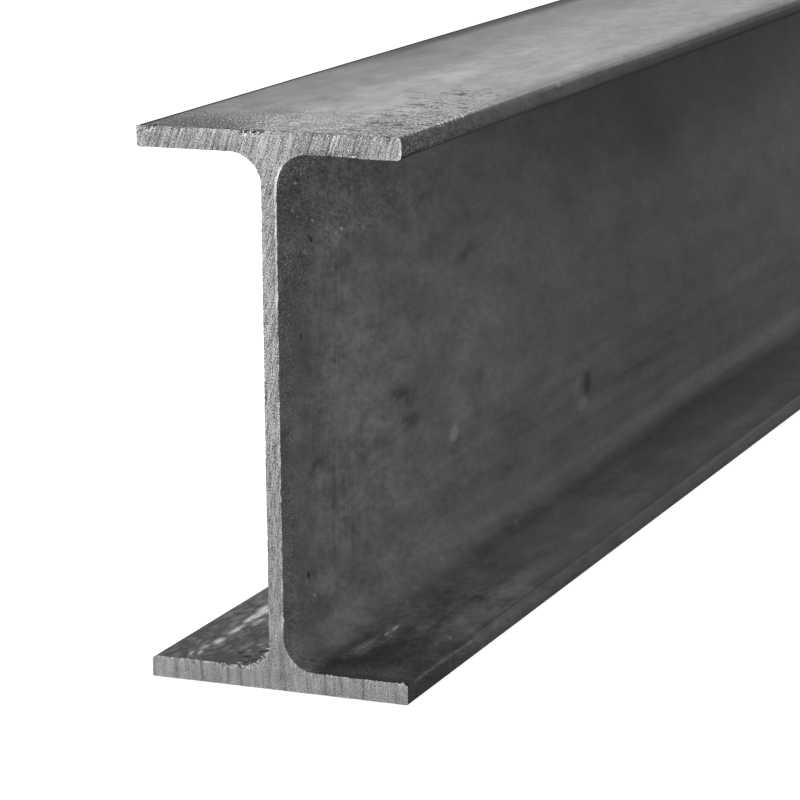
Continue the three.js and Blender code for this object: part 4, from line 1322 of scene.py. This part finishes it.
def make_cut():
    """Bright saw-cut steel: painted arc-shaped tooth marks under a close grain."""
    mat, g = new_material("saw_cut_steel")
    p, x, s, z = places(g)
    # (the mottle painted on a cut is the strength of its tooth lines)
    sandy, torn, lined = painted(g, "sand"), painted(g, "torn"), painted(g, "mottle")
    zc = g.m("SUBTRACT", z, SAW_Z)
    u = g.m("ADD", x, g.m("SQRT", g.m("SUBTRACT", SAW_R**2, g.m("MULTIPLY", zc, zc))))
    u = g.m("SUBTRACT", u, SAW_R)
    far = g.ramp(s, HALF_L - 1, HALF_L + 1)
    # thin broken tooth lines along the arcs, some dark, some light
    lines = g.noise(g.join(g.m("MULTIPLY", u, 1.30), far, g.m("MULTIPLY", z, 0.11)), 2, 0.8)
    thin = g.ramp(g.m("ABSOLUTE", g.m("SUBTRACT", lines, 0.44)), 0.05, 0.012)
    grain = g.noise(g.join(g.m("MULTIPLY", u, 2.5), far, g.m("MULTIPLY", z, 1.8)), 1, 0.8)
    thin = g.mul(thin, g.ramp(g.noise(g.join(g.m("MULTIPLY", u, 0.9), far, g.m("MULTIPLY", z, 0.5)), 1, 0.6), 0.36, 0.52))
    patch = g.noise(g.times(p, 0.30, 0.30, 0.20), 2, 0.6)
    cell_d, cell_c = g.cells(g.times(p, 0.85, 0.85, 0.70), 1.0)
    pick = g.xyz(cell_c)[0]
    pin = g.mul(g.ramp(cell_d, 0.34, 0.14), g.ramp(pick, 0.84, 0.88), g.ramp(sandy, 0.75, 1.25, 0.2, 1.0))
    spark = g.mul(g.ramp(cell_d, 0.26, 0.08), g.ramp(pick, 0.12, 0.08))
    tone = g.add(g.mul(g.lin(lines, CUT_FINE, -0.5 * CUT_FINE), lined), g.m("SUBTRACT", 1.03, g.mul(thin, lined, CUT_THIN)),
                 g.mul(g.lin(grain, 1.0, -0.5), sandy, CUT_GRAIN), g.lin(patch, 0.36, -0.18), g.mul(spark, 0.40))
    tone = g.m("MULTIPLY", tone, g.mul(g.lin(pin, -0.55, 1.0), painted(g)))
    # chipped and crumbled edge: holes painted black as shadow, and bright points painted as highlights
    chips = g.noise(g.times(p, 1.15, 1.8, 1.3), 1, 0.8)
    tone = g.m("MULTIPLY", tone, g.m("SUBTRACT", 1.0, g.mul(torn, g.ramp(chips, 0.47, 0.53), 0.95)))
    tone = g.m("ADD", tone, g.mul(torn, g.ramp(chips, 0.40, 0.34), 0.45))
    relief = g.add(g.lin(lines, 0.06), g.mul(grain, sandy, 0.10), g.mul(pin, -0.06), g.mul(torn, chips, -0.5))
    rough = g.add(g.lin(grain, 0.30, CUT_ROUGH - 0.15), g.mul(pin, 0.2))
    colour = g.m("MINIMUM", g.m("MAXIMUM", g.m("MULTIPLY", tone, CUT_GREY), 0.02), 0.97)
    finish_material(g, colour, rough, relief, CUT_METAL, 0.5)
    return mat


beam.data.materials.append(make_mill("mill_scale", False))
beam.data.materials.append(make_top())
beam.data.materials.append(make_cut())
beam.data.materials.append(make_mill("mill_scale_near", True))

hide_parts("i_beam")
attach(beam, "root")
# ---------------------------------------------------------------- studio
def make_floor():
    """Plain white studio floor, large enough to fill the view from any side."""
    size = 60.0
    me = bpy.data.meshes.new("studio_floor")
    me.from_pydata([(-size, -size, -0.0003), (size, -size, -0.0003), (size, size, -0.0003), (-size, size, -0.0003)],
                   [], [(0, 1, 2, 3)])
    me.update()
    ob = bpy.data.objects.new("studio_floor", me)
    bpy.context.scene.collection.objects.link(ob)
    mat, g = new_material("studio_white")
    diffuse = g.node("ShaderNodeBsdfDiffuse", {"Color": (0.40, 0.40, 0.40, 1)})
    glow = g.node("ShaderNodeEmission", {"Color": (1, 1, 1, 1), "Strength": FLOOR_GLOW})
    both = g.node("ShaderNodeAddShader")
    g.put(both.inputs[0], diffuse.outputs[0])
    g.put(both.inputs[1], glow.outputs[0])
    out = g.node("ShaderNodeOutputMaterial")
    g.put(out.inputs["Surface"], both.outputs[0])
    me.materials.append(mat)
    # the beam is lit by the lamps and the sky dome, not by the lit floor
    ob.visible_diffuse = False
    ob.visible_glossy = False
    ob.visible_shadow = False
    return ob


def make_world():
    world = bpy.data.worlds.new("studio_dome")
    bpy.context.scene.world = world
    world.use_nodes = True
    g = Graph(world.node_tree)
    tc = g.node("ShaderNodeTexCoord")
    x, y, z = g.xyz(tc.outputs["Generated"])
    low = g.ramp(z, -0.10, -0.02, DOME_LOW, 1.0)           # dim below the horizon
    high = g.ramp(z, RING_TOP, RING_TOP + 0.16, 1.0, DOME_HIGH)
    grey = g.m("MINIMUM", low, high)
    bg = g.node("ShaderNodeBackground", {"Strength": 1.0})
    g.put(bg.inputs["Color"], g.join(grey, grey, grey))
    out = g.node("ShaderNodeOutputWorld")
    g.put(out.inputs["Surface"], bg.outputs[0])


def softbox(name, place, aim, width, height, power, spread=180.0):
    data = bpy.data.lights.new(name, "AREA")
    data.shape = "RECTANGLE"
    data.size, data.size_y = width, height
    data.energy = power
    data.spread = math.radians(spread)
    ob = bpy.data.objects.new(name, data)
    bpy.context.scene.collection.objects.link(ob)
    ob.location = place
    ob.rotation_mode = "QUATERNION"
    ob.rotation_quaternion = (Vector(aim) - Vector(place)).to_track_quat("-Z", "Y")
    ob.visible_camera = False
    return ob


def make_camera():
    az, el, roll = math.radians(22.889), math.radians(12.764), math.radians(-0.699)
    back = Vector((math.sin(az) * math.cos(el), -math.cos(az) * math.cos(el), math.sin(el)))
    target = Vector((0.04846, -LENGTH / 2000.0, 0.10947))
    fwd = -back
    right = fwd.cross(Vector((0, 0, 1))).normalized()
    up = right.cross(fwd).normalized()
    cx = right * math.cos(roll) + up * math.sin(roll)
    cy = -right * math.sin(roll) + up * math.cos(roll)
    data = bpy.data.cameras.new("camera")
    data.sensor_fit = "HORIZONTAL"
    data.sensor_width = 36.0
    data.lens = 3371.7 / 800.0 * 36.0
    data.clip_start, data.clip_end = 0.01, 200.0
    ob = bpy.data.objects.new("camera", data)
    bpy.context.scene.collection.objects.link(ob)
    ob.matrix_world = Matrix((
        (cx.x, cy.x, back.x, 0), (cx.y, cy.y, back.y, 0), (cx.z, cy.z, back.z, 0), (0, 0, 0, 1)))
    ob.location = target + back * 1.1547
    bpy.context.scene.camera = ob
    return ob


make_camera()
make_world()
make_floor()
softbox("key_left", (-2.4, -2.6, 2.0), (0, -0.75, 0.08), 2.2, 1.6, KEY_POWER)
softbox("top_soft", (-0.6, 0.6, 3.4), (0, 0.0, 0.1), 2.4, 3.2, TOP_POWER)
bpy.context.scene.view_settings.view_transform = "Standard"
bpy.context.scene.view_settings.look = "None"
bpy.context.scene.view_settings.exposure = 0.0
bpy.context.scene.view_settings.gamma = 1.0
